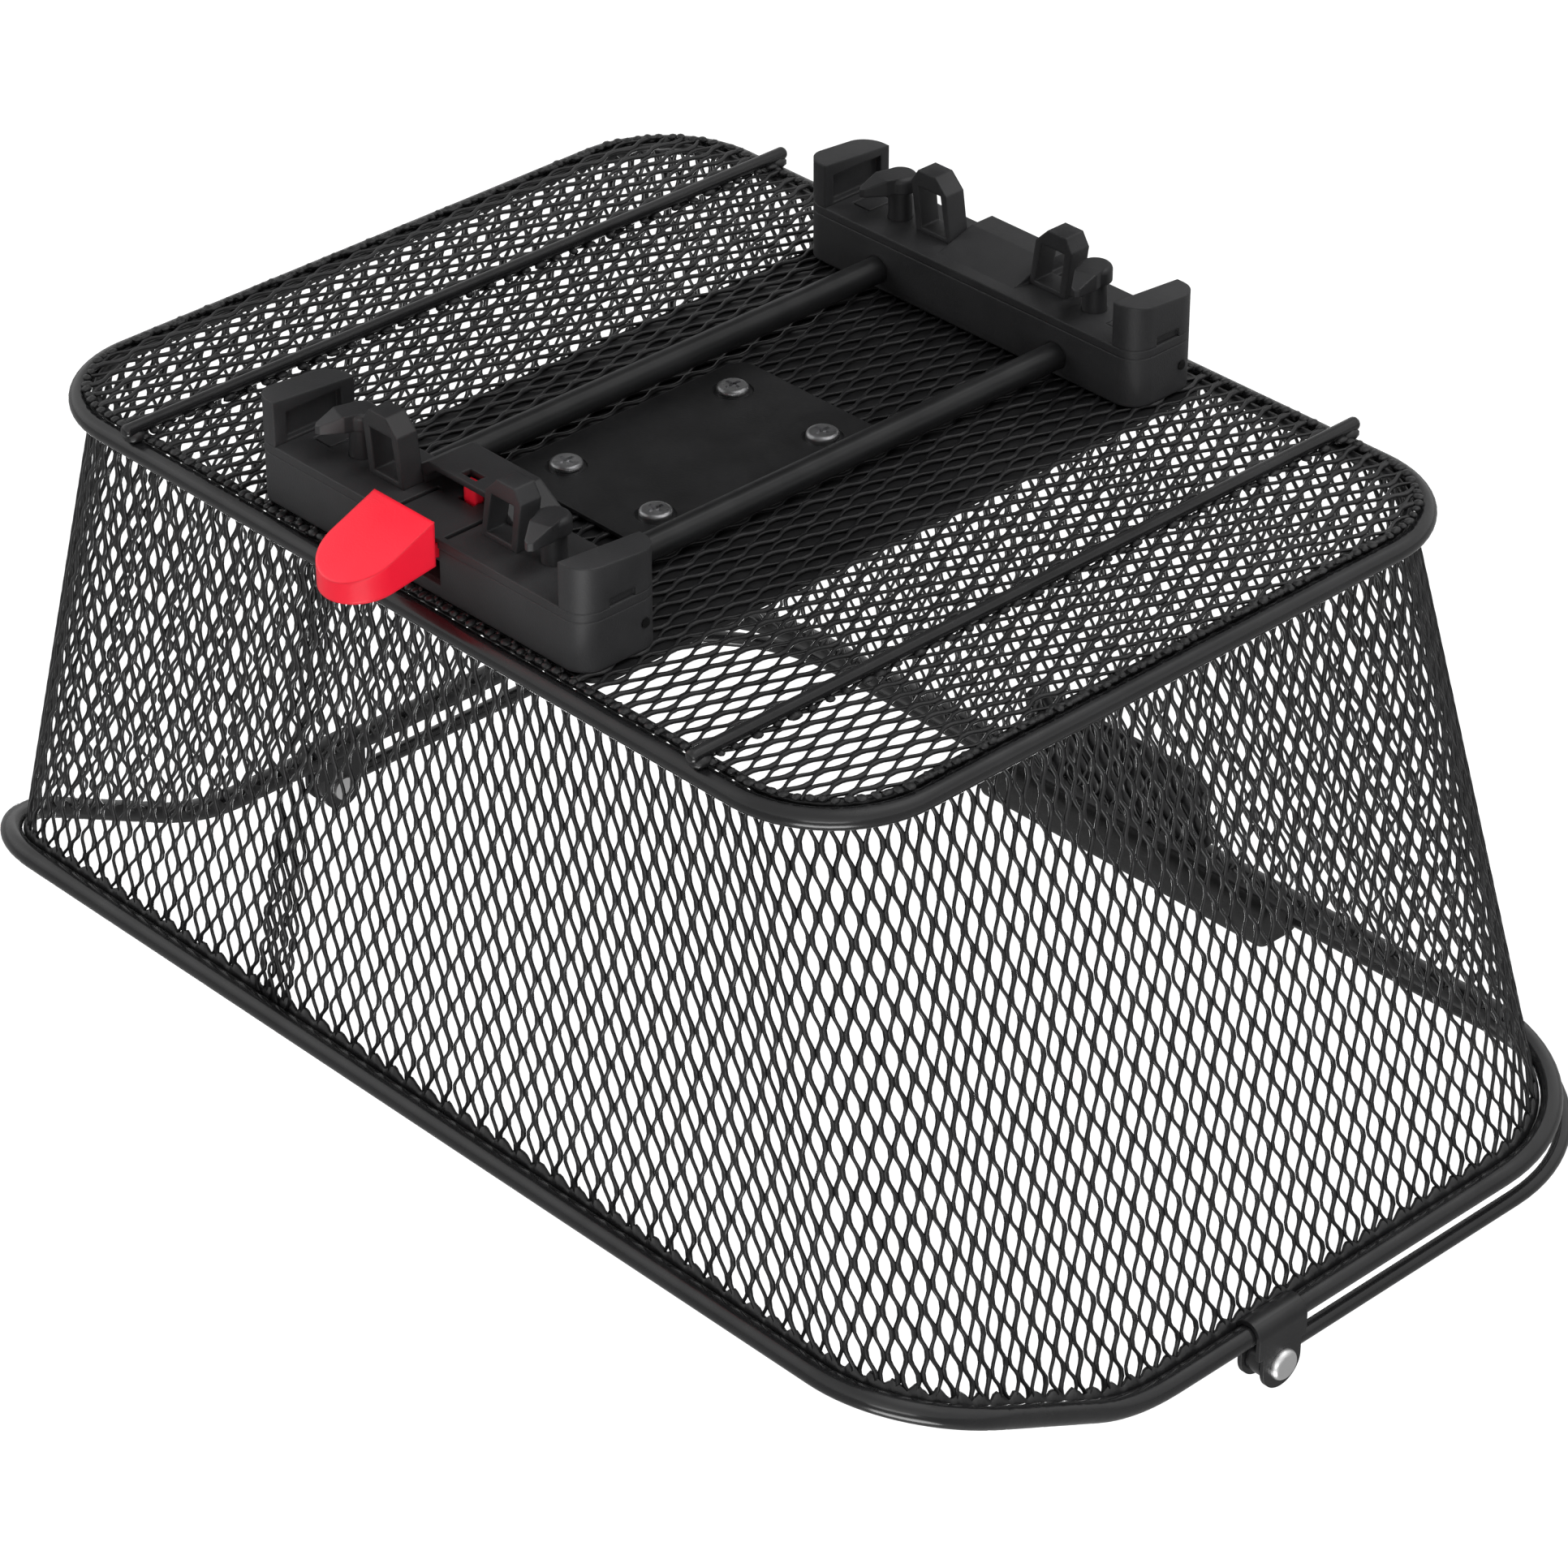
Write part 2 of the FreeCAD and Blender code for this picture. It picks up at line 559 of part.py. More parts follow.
body = new_body("inner_floor_plate")
sk = new_sketch(body, "XY_Plane", d("inner_plate_low"))
draw_rounded(sk, -V["inner_plate_x"], V["inner_plate_x"], -V["inner_plate_y"],
             V["inner_plate_y"], V["inner_plate_corner"], V["inner_plate_corner"],
             ["-dims.inner_plate_x", "dims.inner_plate_x", "-dims.inner_plate_y",
              "dims.inner_plate_y", "dims.inner_plate_corner", "dims.inner_plate_corner"])
pad(body, sk, d("inner_plate_thick"))
sk = new_sketch(body, "XY_Plane", d("inner_plate_low"))
plate_holes(sk, "screw_hole_rad")
for sx in (-1, 1):
    for y_val, word in ((-V["claw_front_y"] - 1, "-dims.claw_front_y - 1"),
                        (V["claw_rear_y"] + 1, "dims.claw_rear_y + 1")):
        draw_circle(sk, sx * V["mount_screw_x"], y_val, V["mount_screw_rad"] + 0.4,
                    "%d * dims.mount_screw_x" % sx, word, "dims.mount_screw_rad + 0.4")
pocket(body, sk, 3.0)


# ---------------------------------------------------------------- plate fasteners
def plate_spots():
    for sx in (-1, 1):
        for y_sign, word in ((-1, "screw_front"), (1, "screw_rear")):
            yield "%d * dims.screw_x" % sx, "%d * dims.%s" % (y_sign, word)


seat = "dims.outer_plate_low + dims.dimple_deep"
nut_base = "dims.inner_plate_low + dims.inner_plate_thick + dims.washer_thick"
screws = []
washers = []
nuts = []
for ex, ey in plate_spots():
    head = cylinder((ex, ey, seat + " - dims.screw_head_high"), d("screw_head_rad"),
                    d("screw_head_high"))
    low = V["outer_plate_low"] + V["dimple_deep"] - V["screw_head_high"]
    head = rounded_edges(head, 1.3, lambda e, m, low=low: abs(m.z - low) < 0.01 and e.Length > 5)
    shank = cylinder((ex, ey, seat + " - 0.6"), d("screw_rad"), 10.6)
    cross = [box((ex + " - 2.6", ey + " - 0.6", seat + " - dims.screw_head_high"), (5.2, 1.2, 1.3)),
             box((ex + " - 0.6", ey + " - 2.6", seat + " - dims.screw_head_high"), (1.2, 5.2, 1.3))]
    screws.append(cut(fuse([head, shank]), cross))
    ring = cylinder((ex, ey, "dims.inner_plate_low + dims.inner_plate_thick"),
                    d("washer_rad"), d("washer_thick"))
    bore = cylinder((ex, ey, "dims.inner_plate_low"), "dims.screw_rad + 0.2", 6.0)
    washers.append(cut(ring, bore))
    hexagon = doc.addObject("Part::Prism", fresh("hexagon"))
    hexagon.Polygon = 6
    hexagon.setExpression("Circumradius", "dims.nut_flats / 1.7320508")
    hexagon.setExpression("Height", d("nut_high"))
    place(hexagon, (ex, ey, nut_base))
    bore = cylinder((ex, ey, nut_base + " - 1"), "dims.screw_rad + 0.05", 8.0)
    nuts.append(cut(hexagon, bore))
node(group(screws), "plate_screws")
node(group(washers), "plate_washers")
node(group(nuts), "plate_nuts")

# ---------------------------------------------------------------- badge plate
body = new_body("badge_plate")
sk = new_sketch(body, "XZ_Plane", 0.0)
half_high = V["badge_high"] / 2.0
draw_rounded(sk, -V["badge_x"], V["badge_x"], -half_high, half_high, V["badge_corner"],
             V["badge_corner"],
             ["-dims.badge_x", "dims.badge_x", "-dims.badge_high / 2", "dims.badge_high / 2",
              "dims.badge_corner", "dims.badge_corner"])
pad(body, sk, d("badge_thick"))
body.Placement = Placement(Vector(0, 0, 0), Rotation(Vector(1, 0, 0), -V["badge_lean"]))
body.setExpression("Placement.Base.y", "dims.badge_out + dims.badge_thick")
body.setExpression("Placement.Base.z", d("badge_level"))

# ---------------------------------------------------------------- carrying handle
path = new_sketch(None, "")
bx, reach, rc = V["bail_x"], V["bail_reach"], V["bail_corner"]
start_y = V["bail_y"] + 3.0
parts = [Part.LineSegment(Vector(-bx, start_y, 0), Vector(-bx, reach - rc, 0)),
         Part.ArcOfCircle(Part.Circle(Vector(-bx + rc, reach - rc, 0), Vector(0, 0, 1), rc),
                          0.5 * math.pi, math.pi),
         Part.LineSegment(Vector(-bx + rc, reach, 0), Vector(bx - rc, reach, 0)),
         Part.ArcOfCircle(Part.Circle(Vector(bx - rc, reach - rc, 0), Vector(0, 0, 1), rc),
                          0.0, 0.5 * math.pi),
         Part.LineSegment(Vector(bx, reach - rc, 0), Vector(bx, start_y, 0))]
for seg in parts:
    path.addGeometry(seg, False)
for one, other in (((0, 2), (1, 2)), ((1, 1), (2, 1)), ((2, 2), (3, 2)), ((3, 1), (4, 1))):
    path.addConstraint(Sketcher.Constraint("Tangent", one[0], one[1], other[0], other[1]))
path.addConstraint(Sketcher.Constraint("Vertical", 0))
path.addConstraint(Sketcher.Constraint("Horizontal", 2))
path.addConstraint(Sketcher.Constraint("Vertical", 4))
path.addConstraint(Sketcher.Constraint("Equal", 1, 3))
number = path.addConstraint(Sketcher.Constraint("Radius", 1, rc))
path.setExpression("Constraints[%d]" % number, d("bail_corner"))
fix_point(path, 0, 1, "DistanceX", -bx, "-dims.bail_x")
fix_point(path, 0, 1, "DistanceY", start_y, "dims.bail_y + 3")
fix_point(path, 2, 1, "DistanceY", reach, d("bail_reach"))
fix_point(path, 4, 2, "DistanceX", bx, d("bail_x"))
fix_point(path, 4, 2, "DistanceY", start_y, "dims.bail_y + 3")
path.setExpression("Placement.Base.z", d("bail_level"))
bail = sweep(path, d("bail_wire_rad"), ("-dims.bail_x", "dims.bail_y + 3", d("bail_level")),
             (1, 0, 0), -90.0)
eyes = []
bores = []
for side in (-1, 1):
    eyes.append(cylinder(("%d * dims.bail_x - dims.eye_half" % side, d("bail_y"), d("bail_level")),
                         d("eye_rad"), "2 * dims.eye_half", *ALONG_X))
    bores.append(cylinder(("%d * dims.bail_x - 6" % side, d("bail_y"), d("bail_level")),
                          "dims.rivet_rad + dims.rivet_fit", 12.0, *ALONG_X))
node(cut(fuse([bail] + eyes), bores), "handle_wire")

grip = box(("-dims.grip_half", "dims.bail_reach - dims.grip_shift - dims.grip_wide / 2",
            "dims.bail_level - dims.grip_high / 2"),
           ("2 * dims.grip_half", d("grip_wide"), d("grip_high")))
grip = rounded_edges(grip, 5.5, lambda e, m: abs(m.x) < 0.1)
grip = rounded_edges(grip, 2.0, lambda e, m: abs(abs(m.x) - V["grip_half"]) < 0.01)
grip_bore = cylinder(("-dims.grip_half - 1", d("bail_reach"), d("bail_level")),
                     "dims.bail_wire_rad + 0.02", "2 * dims.grip_half + 2", *ALONG_X)
node(cut(grip, grip_bore), "handle_grip")


def clip(side, label):
    """Sheet strap round the rim with two pierced lobes."""
    back = "dims.bail_y - dims.strap_wide / 2"
    centre = "%d * dims.rim_half_x" % side
    outer = cylinder((centre, back, d("rim_level")), "dims.strap_in + dims.strap_thick",
                     d("strap_wide"), *ALONG_Y)
    shoulder = box((centre + " - dims.strap_in - dims.strap_thick", back, d("rim_level")),
                   ("2 * (dims.strap_in + dims.strap_thick)", d("strap_wide"),
                    "dims.strap_neck - dims.rim_level"))
    stem = box((centre + " - dims.strap_in - dims.strap_thick", "dims.bail_y - dims.lobe_rad",
                d("rim_level")),
               ("2 * (dims.strap_in + dims.strap_thick)", "2 * dims.lobe_rad",
                "dims.bail_level - dims.rim_level"))
    top = cylinder((centre + " - dims.strap_in - dims.strap_thick", d("bail_y"), d("bail_level")),
                   d("lobe_rad"), "2 * (dims.strap_in + dims.strap_thick)", *ALONG_X)
    inner = cylinder((centre, back + " - 1", d("rim_level")), d("strap_in"),
                     "dims.strap_wide + 2", *ALONG_Y)
    space = box((centre + " - dims.strap_in", back + " - 1", d("rim_level")),
                ("2 * dims.strap_in", "dims.strap_wide + 2", 40.0))
    hole = cylinder((centre + " - 10", d("bail_y"), d("bail_level")), "dims.rivet_rad + 0.05",
                    20.0, *ALONG_X)
    node(cut(fuse([outer, shoulder, stem, top]), [inner, space, hole]), label)


clip(-1, "handle_clip_left")
clip(1, "handle_clip_right")


def rivet(side, label):
    """Rivet through both lobes; domed head on the outside."""
    reach_out = "dims.strap_in + dims.strap_thick"
    shank = cylinder(("%d * dims.rim_half_x - (%s) - 0.2" % (side, reach_out), d("bail_y"),
                      d("bail_level")), d("rivet_rad"), "2 * (%s) + 0.4" % reach_out, *ALONG_X)
    far = V["rim_half_x"] + V["strap_in"] + V["strap_thick"] + 0.05
    near = V["rim_half_x"] - V["strap_in"] - V["strap_thick"] - 0.05
    if side > 0:
        start_out = "dims.rim_half_x + %s + 0.05" % reach_out
        start_in = "dims.rim_half_x - (%s) - 0.05 - 1.2" % reach_out
    else:
        start_out = "-dims.rim_half_x - (%s) - 0.05 - dims.rivet_head_high" % reach_out
        start_in = "-dims.rim_half_x + %s + 0.05" % reach_out
    head = cylinder((start_out, d("bail_y"), d("bail_level")), d("rivet_head_rad"),
                    d("rivet_head_high"), *ALONG_X)
    edge_x = side * (far + V["rivet_head_high"])
    head = rounded_edges(head, 1.9, lambda e, m: abs(m.x - edge_x) < 0.01 and e.Length > 5)
    tail = cylinder((start_in, d("bail_y"), d("bail_level")), 3.8, 1.2, *ALONG_X)
    assert near > 0
    node(fuse([shank, head, tail]), label)


rivet(-1, "clip_rivet_left")
rivet(1, "clip_rivet_right")

# ---------------------------------------------------------------- adapter bars
BARS = {
    "front": dict(y0=-V["bar_front"], y1=-V["bar_front_back"],
                  e0="-dims.bar_front", e1="-dims.bar_front_back",
                  claw=-V["claw_front_y"], eclaw="-dims.claw_front_y",
                  arch=-V["arch_front_y"], earch="-dims.arch_front_y"),
    "rear": dict(y0=V["bar_rear_front"], y1=V["bar_rear"],
                 e0="dims.bar_rear_front", e1="dims.bar_rear",
                 claw=V["claw_rear_y"], eclaw="dims.claw_rear_y",
                 arch=V["arch_rear_y"], earch="dims.arch_rear_y"),
}


def bar_outline(sk, bar, inset=0.0):
    r = V["bar_corner"] - inset
    x = V["bar_half"] - inset
    draw_rounded(sk, -x, x, bar["y0"] + inset, bar["y1"] - inset, r, r,
                 ["-dims.bar_half + %r" % inset, "dims.bar_half - %r" % inset,
                  bar["e0"] + " + %r" % inset, bar["e1"] + " - %r" % inset,
                  "dims.bar_corner - %r" % inset, "dims.bar_corner - %r" % inset])
    return sk


def housing(name):
    bar = BARS[name]
    body = new_body(name + "_housing")
    pad(body, bar_outline(new_sketch(body, "XY_Plane", d("cover_high")), bar),
        "dims.bar_high - dims.cover_high")
    pocket(body, bar_outline(new_sketch(body, "XY_Plane", d("cover_high")), bar, V["bar_wall"]),
           "dims.bar_high - dims.cover_high - dims.bar_lid")
    # bosses for the screws that come down from the inner floor plate
    y_boss = bar["claw"] + (-1.0 if name == "front" else 1.0)
    e_boss = bar["eclaw"] + (" - 1" if name == "front" else " + 1")
    sk = new_sketch(body, "XY_Plane", "dims.cover_high + 0.2")
    for sx in (-1, 1):
        draw_circle(sk, sx * V["mount_screw_x"], y_boss, V["mount_boss_rad"],
                    "%d * dims.mount_screw_x" % sx, e_boss, d("mount_boss_rad"))
    pad(body, sk, "dims.bar_high - dims.cover_high - dims.bar_lid + 0.3")
    sk = new_sketch(body, "XY_Plane", "dims.bar_high + 1")
    for sx in (-1, 1):
        draw_circle(sk, sx * V["mount_screw_x"], y_boss, V["mount_screw_rad"],
                    "%d * dims.mount_screw_x" % sx, e_boss, d("mount_screw_rad"))
    pocket(body, sk, "dims.bar_high + 1 - dims.cover_high - 2.4")
    # bores for the two tubes in the wall that faces the middle of the rack
    sk = new_sketch(body, "XZ_Plane", "dims.bar_front_back + 3" if name == "front"
                    else "-dims.bar_rear_front + 1")
    for sx in (-1, 1):
        draw_circle(sk, sx * V["tube_x"], V["mech_level"], V["tube_rad"] + 0.05,
                    "%d * dims.tube_x" % sx, d("mech_level"), "dims.tube_rad + 0.05")
    pocket(body, sk, 6.0)
    return body


front = housing("front")
sk = new_sketch(front, "XZ_Plane", "dims.bar_front + 1")
plain_rect(sk, -10.2, 10.2, V["cover_high"] - 1.0, 13.7,
           ["-10.2", "10.2", "dims.cover_high - 1", "13.7"])
pocket(front, sk, 4.0)
# ears that carry the lever pin, standing back from the front wall
for sx in (-1, 1):
    sk = new_sketch(front, "YZ_Plane", 9.2 if sx > 0 else -12.2)
    plain_rect(sk, -V["bar_front"] + 1.0, -V["hinge_y"] + 4.0, 2.9, 9.5,
               ["-dims.bar_front + 1", "-dims.hinge_y + 4", "2.9", "9.5"])
    pad(front, sk, 3.0)
sk = new_sketch(front, "YZ_Plane", -13.0)
draw_circle(sk, -V["hinge_y"], V["hinge_level"], V["hinge_pin_rad"] + 0.02,
            "-dims.hinge_y", d("hinge_level"), "dims.hinge_pin_rad + 0.02")
pocket(front, sk, 26.0)
# slot in the back wall for the indicator stem
sk = new_sketch(front, "XY_Plane", "dims.cover_high")
plain_rect(sk, -3.2, 3.2, -V["bar_front_back"] - 3.0, -V["bar_front_back"] - 1.4,
           ["-3.2", "3.2", "-dims.bar_front_back - 3", "-dims.bar_front_back - 1.4"])
pocket(front, sk, 11.0)
rear = housing("rear")


def cover(name):
    bar = BARS[name]
    body = new_body(name + "_cover")
    pad(body, bar_outline(new_sketch(body, "XY_Plane", 0.0), bar), d("cover_high"))
    sk = new_sketch(body, "XY_Plane", 0.0)
    for sx in (-1, 1):
        draw_circle(sk, sx * V["claw_x"], bar["claw"], V["post_rad"] + V["post_fit"],
                    "%d * dims.claw_x" % sx, bar["eclaw"], "dims.post_rad + dims.post_fit")
    pocket(body, sk, 5.0)
    # step lines either side of the claws
    sk = new_sketch(body, "XY_Plane", 0.0)
    for sx in (-1, 1):
        for off in (-5.2, 4.6):
            mid = bar["claw"] + off + 1.2
            plain_rect(sk, sx * 50.4 - 3.4, sx * 50.4 + 3.4, mid - 0.25, mid + 0.25,
                       ["%r" % (sx * 50.4 - 3.4), "%r" % (sx * 50.4 + 3.4),
                        bar["eclaw"] + " + %r" % (off + 0.95), bar["eclaw"] + " + %r" % (off + 1.45)])
    pocket(body, sk, 0.5)
    # ends of the same lines close a flat seat for the rack tube
    sk = new_sketch(body, "XY_Plane", 0.0)
    for sx in (-1, 1):
        for off in (-3.4, 3.4):
            mid = sx * 50.4 + off
            plain_rect(sk, mid - 0.25, mid + 0.25, bar["claw"] - 4.1, bar["claw"] + 5.9,
                       ["%r" % (mid - 0.25), "%r" % (mid + 0.25),
                        bar["eclaw"] + " - 4.1", bar["eclaw"] + " + 5.9"])
    pocket(body, sk, 0.5)
    return body


front_cover = cover("front")
# thin flush plate over the lever hub, cut free by two side slots
sk = new_sketch(front_cover, "XY_Plane", "dims.cover_high + 0.1")
plain_rect(sk, -9.6, 9.6, -V["bar_front"] - 1.0, -99.4, ["-9.6", "9.6", "-dims.bar_front - 1", "-99.4"])
pocket(front_cover, sk, "dims.cover_high - 0.9")
sk = new_sketch(front_cover, "XY_Plane", 0.0)
for sx in (-1, 1):
    x_mid = sx * 10.8
    plain_rect(sk, x_mid - 0.8, x_mid + 0.8, -114.6, -98.2,
               ["%r" % (x_mid - 0.8), "%r" % (x_mid + 0.8), "-dims.bar_front + 1.9", "-98.2"])
pocket(front_cover, sk, 5.0)
sk = new_sketch(front_cover, "XY_Plane", 0.0)
plain_rect(sk, -3.2, 3.2, -98.6, -90.4, ["-3.2", "3.2", "-98.6", "-90.4"])
pocket(front_cover, sk, 5.0)

rear_cover = cover("rear")
sk = new_sketch(rear_cover, "YZ_Plane", -15.0)
draw_polygon(sk, [(89.0, 0.5, "dims.bar_rear_front + 2.6", "0.5"),
                  (104.0, -4.2, "dims.bar_rear - 8", "-4.2"),
                  (112.0, -4.2, d("bar_rear"), "-4.2"),
                  (112.0, 0.5, d("bar_rear"), "0.5")])
pad(rear_cover, sk, 30.0)
# wedge slots at the foot of the plateau
sk = new_sketch(rear_cover, "XY_Plane", 0.0)
for sx in (-1, 1):
    x_mid = sx * 18.4
    plain_rect(sk, x_mid - 0.7, x_mid + 0.7, 104.5, 109.0,
               ["%r" % (x_mid - 0.7), "%r" % (x_mid + 0.7), "dims.bar_rear - 7.5",
                "dims.bar_rear - 3"])
pocket(rear_cover, sk, 0.9)


# ---------------------------------------------------------------- fixed jaws
def jaw(name, side, label):
    """Hook at one end of a bar; holds the outer side of a rack tube."""
    bar = BARS[name]
    body = new_body(label)
    sk = new_sketch(body, "XY_Plane", "-dims.jaw_high - 2")
    bar_outline(sk, bar)
    pad(body, sk, "dims.jaw_high + 2")
    # keep only the outer end
    sk = new_sketch(body, "XY_Plane", "-dims.jaw_high - 3")
    if side > 0:
        plain_rect(sk, -80.0, V["jaw_gap"], -140.0, 140.0, ["-80", d("jaw_gap"), "-140", "140"])
    else:
        plain_rect(sk, -V["jaw_gap"], 80.0, -140.0, 140.0, ["-dims.jaw_gap", "80", "-140", "140"])
    pocket(body, sk, 40.0)
    # sloping free edge, taller towards the lever side
    sk = new_sketch(body, "YZ_Plane", -90.0)
    y0 = bar["y0"] - 2.0
    y1 = bar["y1"] + 2.0
    draw_polygon(sk, [(y0, -V["jaw_high"], bar["e0"] + " - 2", "-dims.jaw_high"),
                      (y1, -V["jaw_low"], bar["e1"] + " + 2", "-dims.jaw_low"),
                      (y1, -30.0, bar["e1"] + " + 2", "-30"),
                      (y0, -30.0, bar["e0"] + " - 2", "-30")])
    pocket(body, sk, 180.0)
    # hollow behind the lip
    mid = 0.5 * (bar["y0"] + bar["y1"])
    e_mid = "(%s + %s) / 2" % (bar["e0"], bar["e1"])
    sk = new_sketch(body, "YZ_Plane", "%d * dims.jaw_gap" % side)
    plain_rect(sk, mid - 9.5, mid + 9.5, -9.2, -0.8,
               [e_mid + " - 9.5", e_mid + " + 9.5", "-9.2", "-0.8"])
    pocket(body, sk, 2.2)
    # snap notch at the parting line
    x_face = "%d * dims.bar_half" % side
    sk = new_sketch(body, "YZ_Plane", x_face)
    plain_rect(sk, mid - 4.5, mid + 4.5, -2.6, 1.0,
               [e_mid + " - dims.notch_long / 2", e_mid + " + dims.notch_long / 2", "-2.6", "1"])
    pocket(body, sk, 0.9)
    return body


for name in ("front", "rear"):
    for side, word in ((-1, "left"), (1, "right")):
        jaw(name, side, "jaw_%s_%s" % (name, word))

pins = []
for name in ("front", "rear"):
    bar = BARS[name]
    for side in (-1, 1):
        start = "-dims.bar_half - 0.35" if side < 0 else "dims.bar_half - 2.4"
        pins.append(cylinder((start, bar["eclaw"] + " + 6.5", 9.5), 1.3, 2.75, *ALONG_X))
pin_bores = []
for name, body in (("front", front), ("rear", rear)):
    bar = BARS[name]
    for side in (-1, 1):
        sk = new_sketch(body, "YZ_Plane", -67.0 if side < 0 else 63.0)
        draw_circle(sk, bar["claw"] + 6.5, 9.5, 1.33, bar["eclaw"] + " + 6.5", "9.5", "1.33")
        pocket(body, sk, 4.0)
node(group(pins), "end_pins")


# ---------------------------------------------------------------- turning claws
def claw(name, side, label):
    bar = BARS[name]
    cx = "%d * dims.claw_x" % side
    cy = bar["eclaw"]
    post = cylinder((cx, cy, "-dims.head_high - 0.5"), d("post_rad"),
                    "dims.head_high + 0.5 + dims.shaft_top")
    flange = cylinder((cx, cy, "dims.cover_high + 0.25"), d("flange_rad"), 2.0)
    head = cylinder((cx, cy, "-dims.head_low"), d("head_rad"), "dims.head_low - dims.head_high")
    low = -V["head_low"]
    head = rounded_edges(head, 1.6, lambda e, m: abs(m.z - low) < 0.01 and e.Length > 5)
    # beak drawn along -Y from the post, then turned outwards by the rest lean
    beak = new_sketch(None, "")
    tip = V["beak_long"]
    draw_polygon(beak, [(-3.6, 1.0, "-3.6", "1"), (-3.4, -6.0, "-3.4", "-6"),
                        (-1.3, -tip + 0.9, "-1.3", "-dims.beak_long + 0.9"),
                        (0.0, -tip, "0", "-dims.beak_long"),
                        (1.3, -tip + 0.9, "1.3", "-dims.beak_long + 0.9"),
                        (3.4, -6.0, "3.4", "-6"), (3.6, 1.0, "3.6", "1")])
    angle = side * V["beak_lean"]
    beak.Placement = Placement(Vector(0, 0, 0), Rotation(Vector(0, 0, 1), angle))
    place_expr = (cx, cy, "-dims.head_low")
    for letter, value in zip("xyz", place_expr):
        beak.setExpression("Placement.Base." + letter, value)
    slab = doc.addObject("Part::Extrusion", fresh("beak"))
    slab.Base = beak
    slab.DirMode = "Custom"
    slab.Dir = Vector(0, 0, 1)
    slab.LengthFwd = V["head_low"] - V["head_high"]
    slab.setExpression("LengthFwd", "dims.head_low - dims.head_high")
    slab.Solid = True
    # wedge that thins the beak towards its tip
    wedge = new_sketch(None, "")
    draw_polygon(wedge, [(-5.2, -0.5, "-5.2", "-0.5"), (-tip - 1.0, 3.0, "-dims.beak_long - 1", "3"),
                         (-tip - 1.0, -3.0, "-dims.beak_long - 1", "-3"), (-5.2, -3.0, "-5.2", "-3")])
    turn = Rotation(Vector(0, 0, 1), angle) * Rotation(0.5, 0.5, 0.5, 0.5)
    wedge.Placement = Placement(Vector(0, 0, 0), turn)
    for letter, value in zip("xyz", place_expr):
        wedge.setExpression("Placement.Base." + letter, value)
    blade = doc.addObject("Part::Extrusion", fresh("blade"))
    blade.Base = wedge
    blade.DirMode = "Normal"
    blade.LengthFwd = 8.0
    blade.LengthRev = 8.0
    blade.Solid = True
    beak_solid = cut(slab, blade)
    # crank pin below deck; drives the claw from the cross slot of a rod
    lag = -V["pin_turn"]
    px = V["claw_x"] + V["pin_circle"] * math.cos(math.radians(lag))
    py = V["pin_circle"] * math.sin(math.radians(lag))
    assert px > V["claw_x"]
    pin_x = "%d * (dims.claw_x + dims.pin_circle * cos(dims.pin_turn * 1 deg))" % side
    pin_y = cy + " - dims.pin_circle * sin(dims.pin_turn * 1 deg)"
    assert py < 0
    pin = cylinder((pin_x, pin_y, "dims.shaft_top - 0.5"), d("pin_rad"),
                   "dims.mech_level + dims.mech_half - dims.shaft_top")
    node(fuse([post, flange, head, beak_solid, pin]), label)


for name in ("front", "rear"):
    for side, word in ((-1, "left"), (1, "right")):
        claw(name, side, "claw_%s_%s" % (name, word))


# ---------------------------------------------------------------- tube guides
def arch(name, side, label):
    """Fixed loop beside a claw; keeps the rack tube from sliding inwards."""
    bar = BARS[name]
    body = new_body(label)
    mid = bar["arch"]
    e_mid = bar["earch"]
    sk = new_sketch(body, "XZ_Plane", "-(%s) - dims.arch_depth / 2" % e_mid)
    a, b, low, lean = V["arch_in"], V["arch_out"], V["arch_low"], V["arch_lean"]
    pts = [(a, 0.0, "dims.arch_in", "0"), (b, 0.0, "dims.arch_out", "0"),
           (b + lean, -low + 4.0, "dims.arch_out + dims.arch_lean", "-dims.arch_low + 4"),
           (b + lean - 2.5, -low, "dims.arch_out + dims.arch_lean - 2.5", "-dims.arch_low"),
           (a + lean + 4.5, -low, "dims.arch_in + dims.arch_lean + 4.5", "-dims.arch_low"),
           (a + lean, -low + 4.5, "dims.arch_in + dims.arch_lean", "-dims.arch_low + 4.5")]
    pts = [(side * p[0], p[1], "%d * (%s)" % (side, p[2]), p[3]) for p in pts]
    draw_polygon(sk, pts)
    pad(body, sk, d("arch_depth"))
    sk = new_sketch(body, "XZ_Plane", "-(%s) - dims.arch_depth / 2 - 1" % e_mid)
    win = [(a + 2.0, -1.6, "dims.arch_in + 2", "-1.6"), (b - 2.0, -1.6, "dims.arch_out - 2", "-1.6"),
           (b + lean - 2.6, -low + 5.0, "dims.arch_out + dims.arch_lean - 2.6", "-dims.arch_low + 5"),
           (a + lean + 2.2, -low + 5.0, "dims.arch_in + dims.arch_lean + 2.2", "-dims.arch_low + 5")]
    win = [(side * p[0], p[1], "%d * (%s)" % (side, p[2]), p[3]) for p in win]
    draw_polygon(sk, win)
    pocket(body, sk, 12.0)
    assert mid != 0.0
    return body


for name in ("front", "rear"):
    for side, word in ((-1, "left"), (1, "right")):
        arch(name, side, "arch_%s_%s" % (name, word))

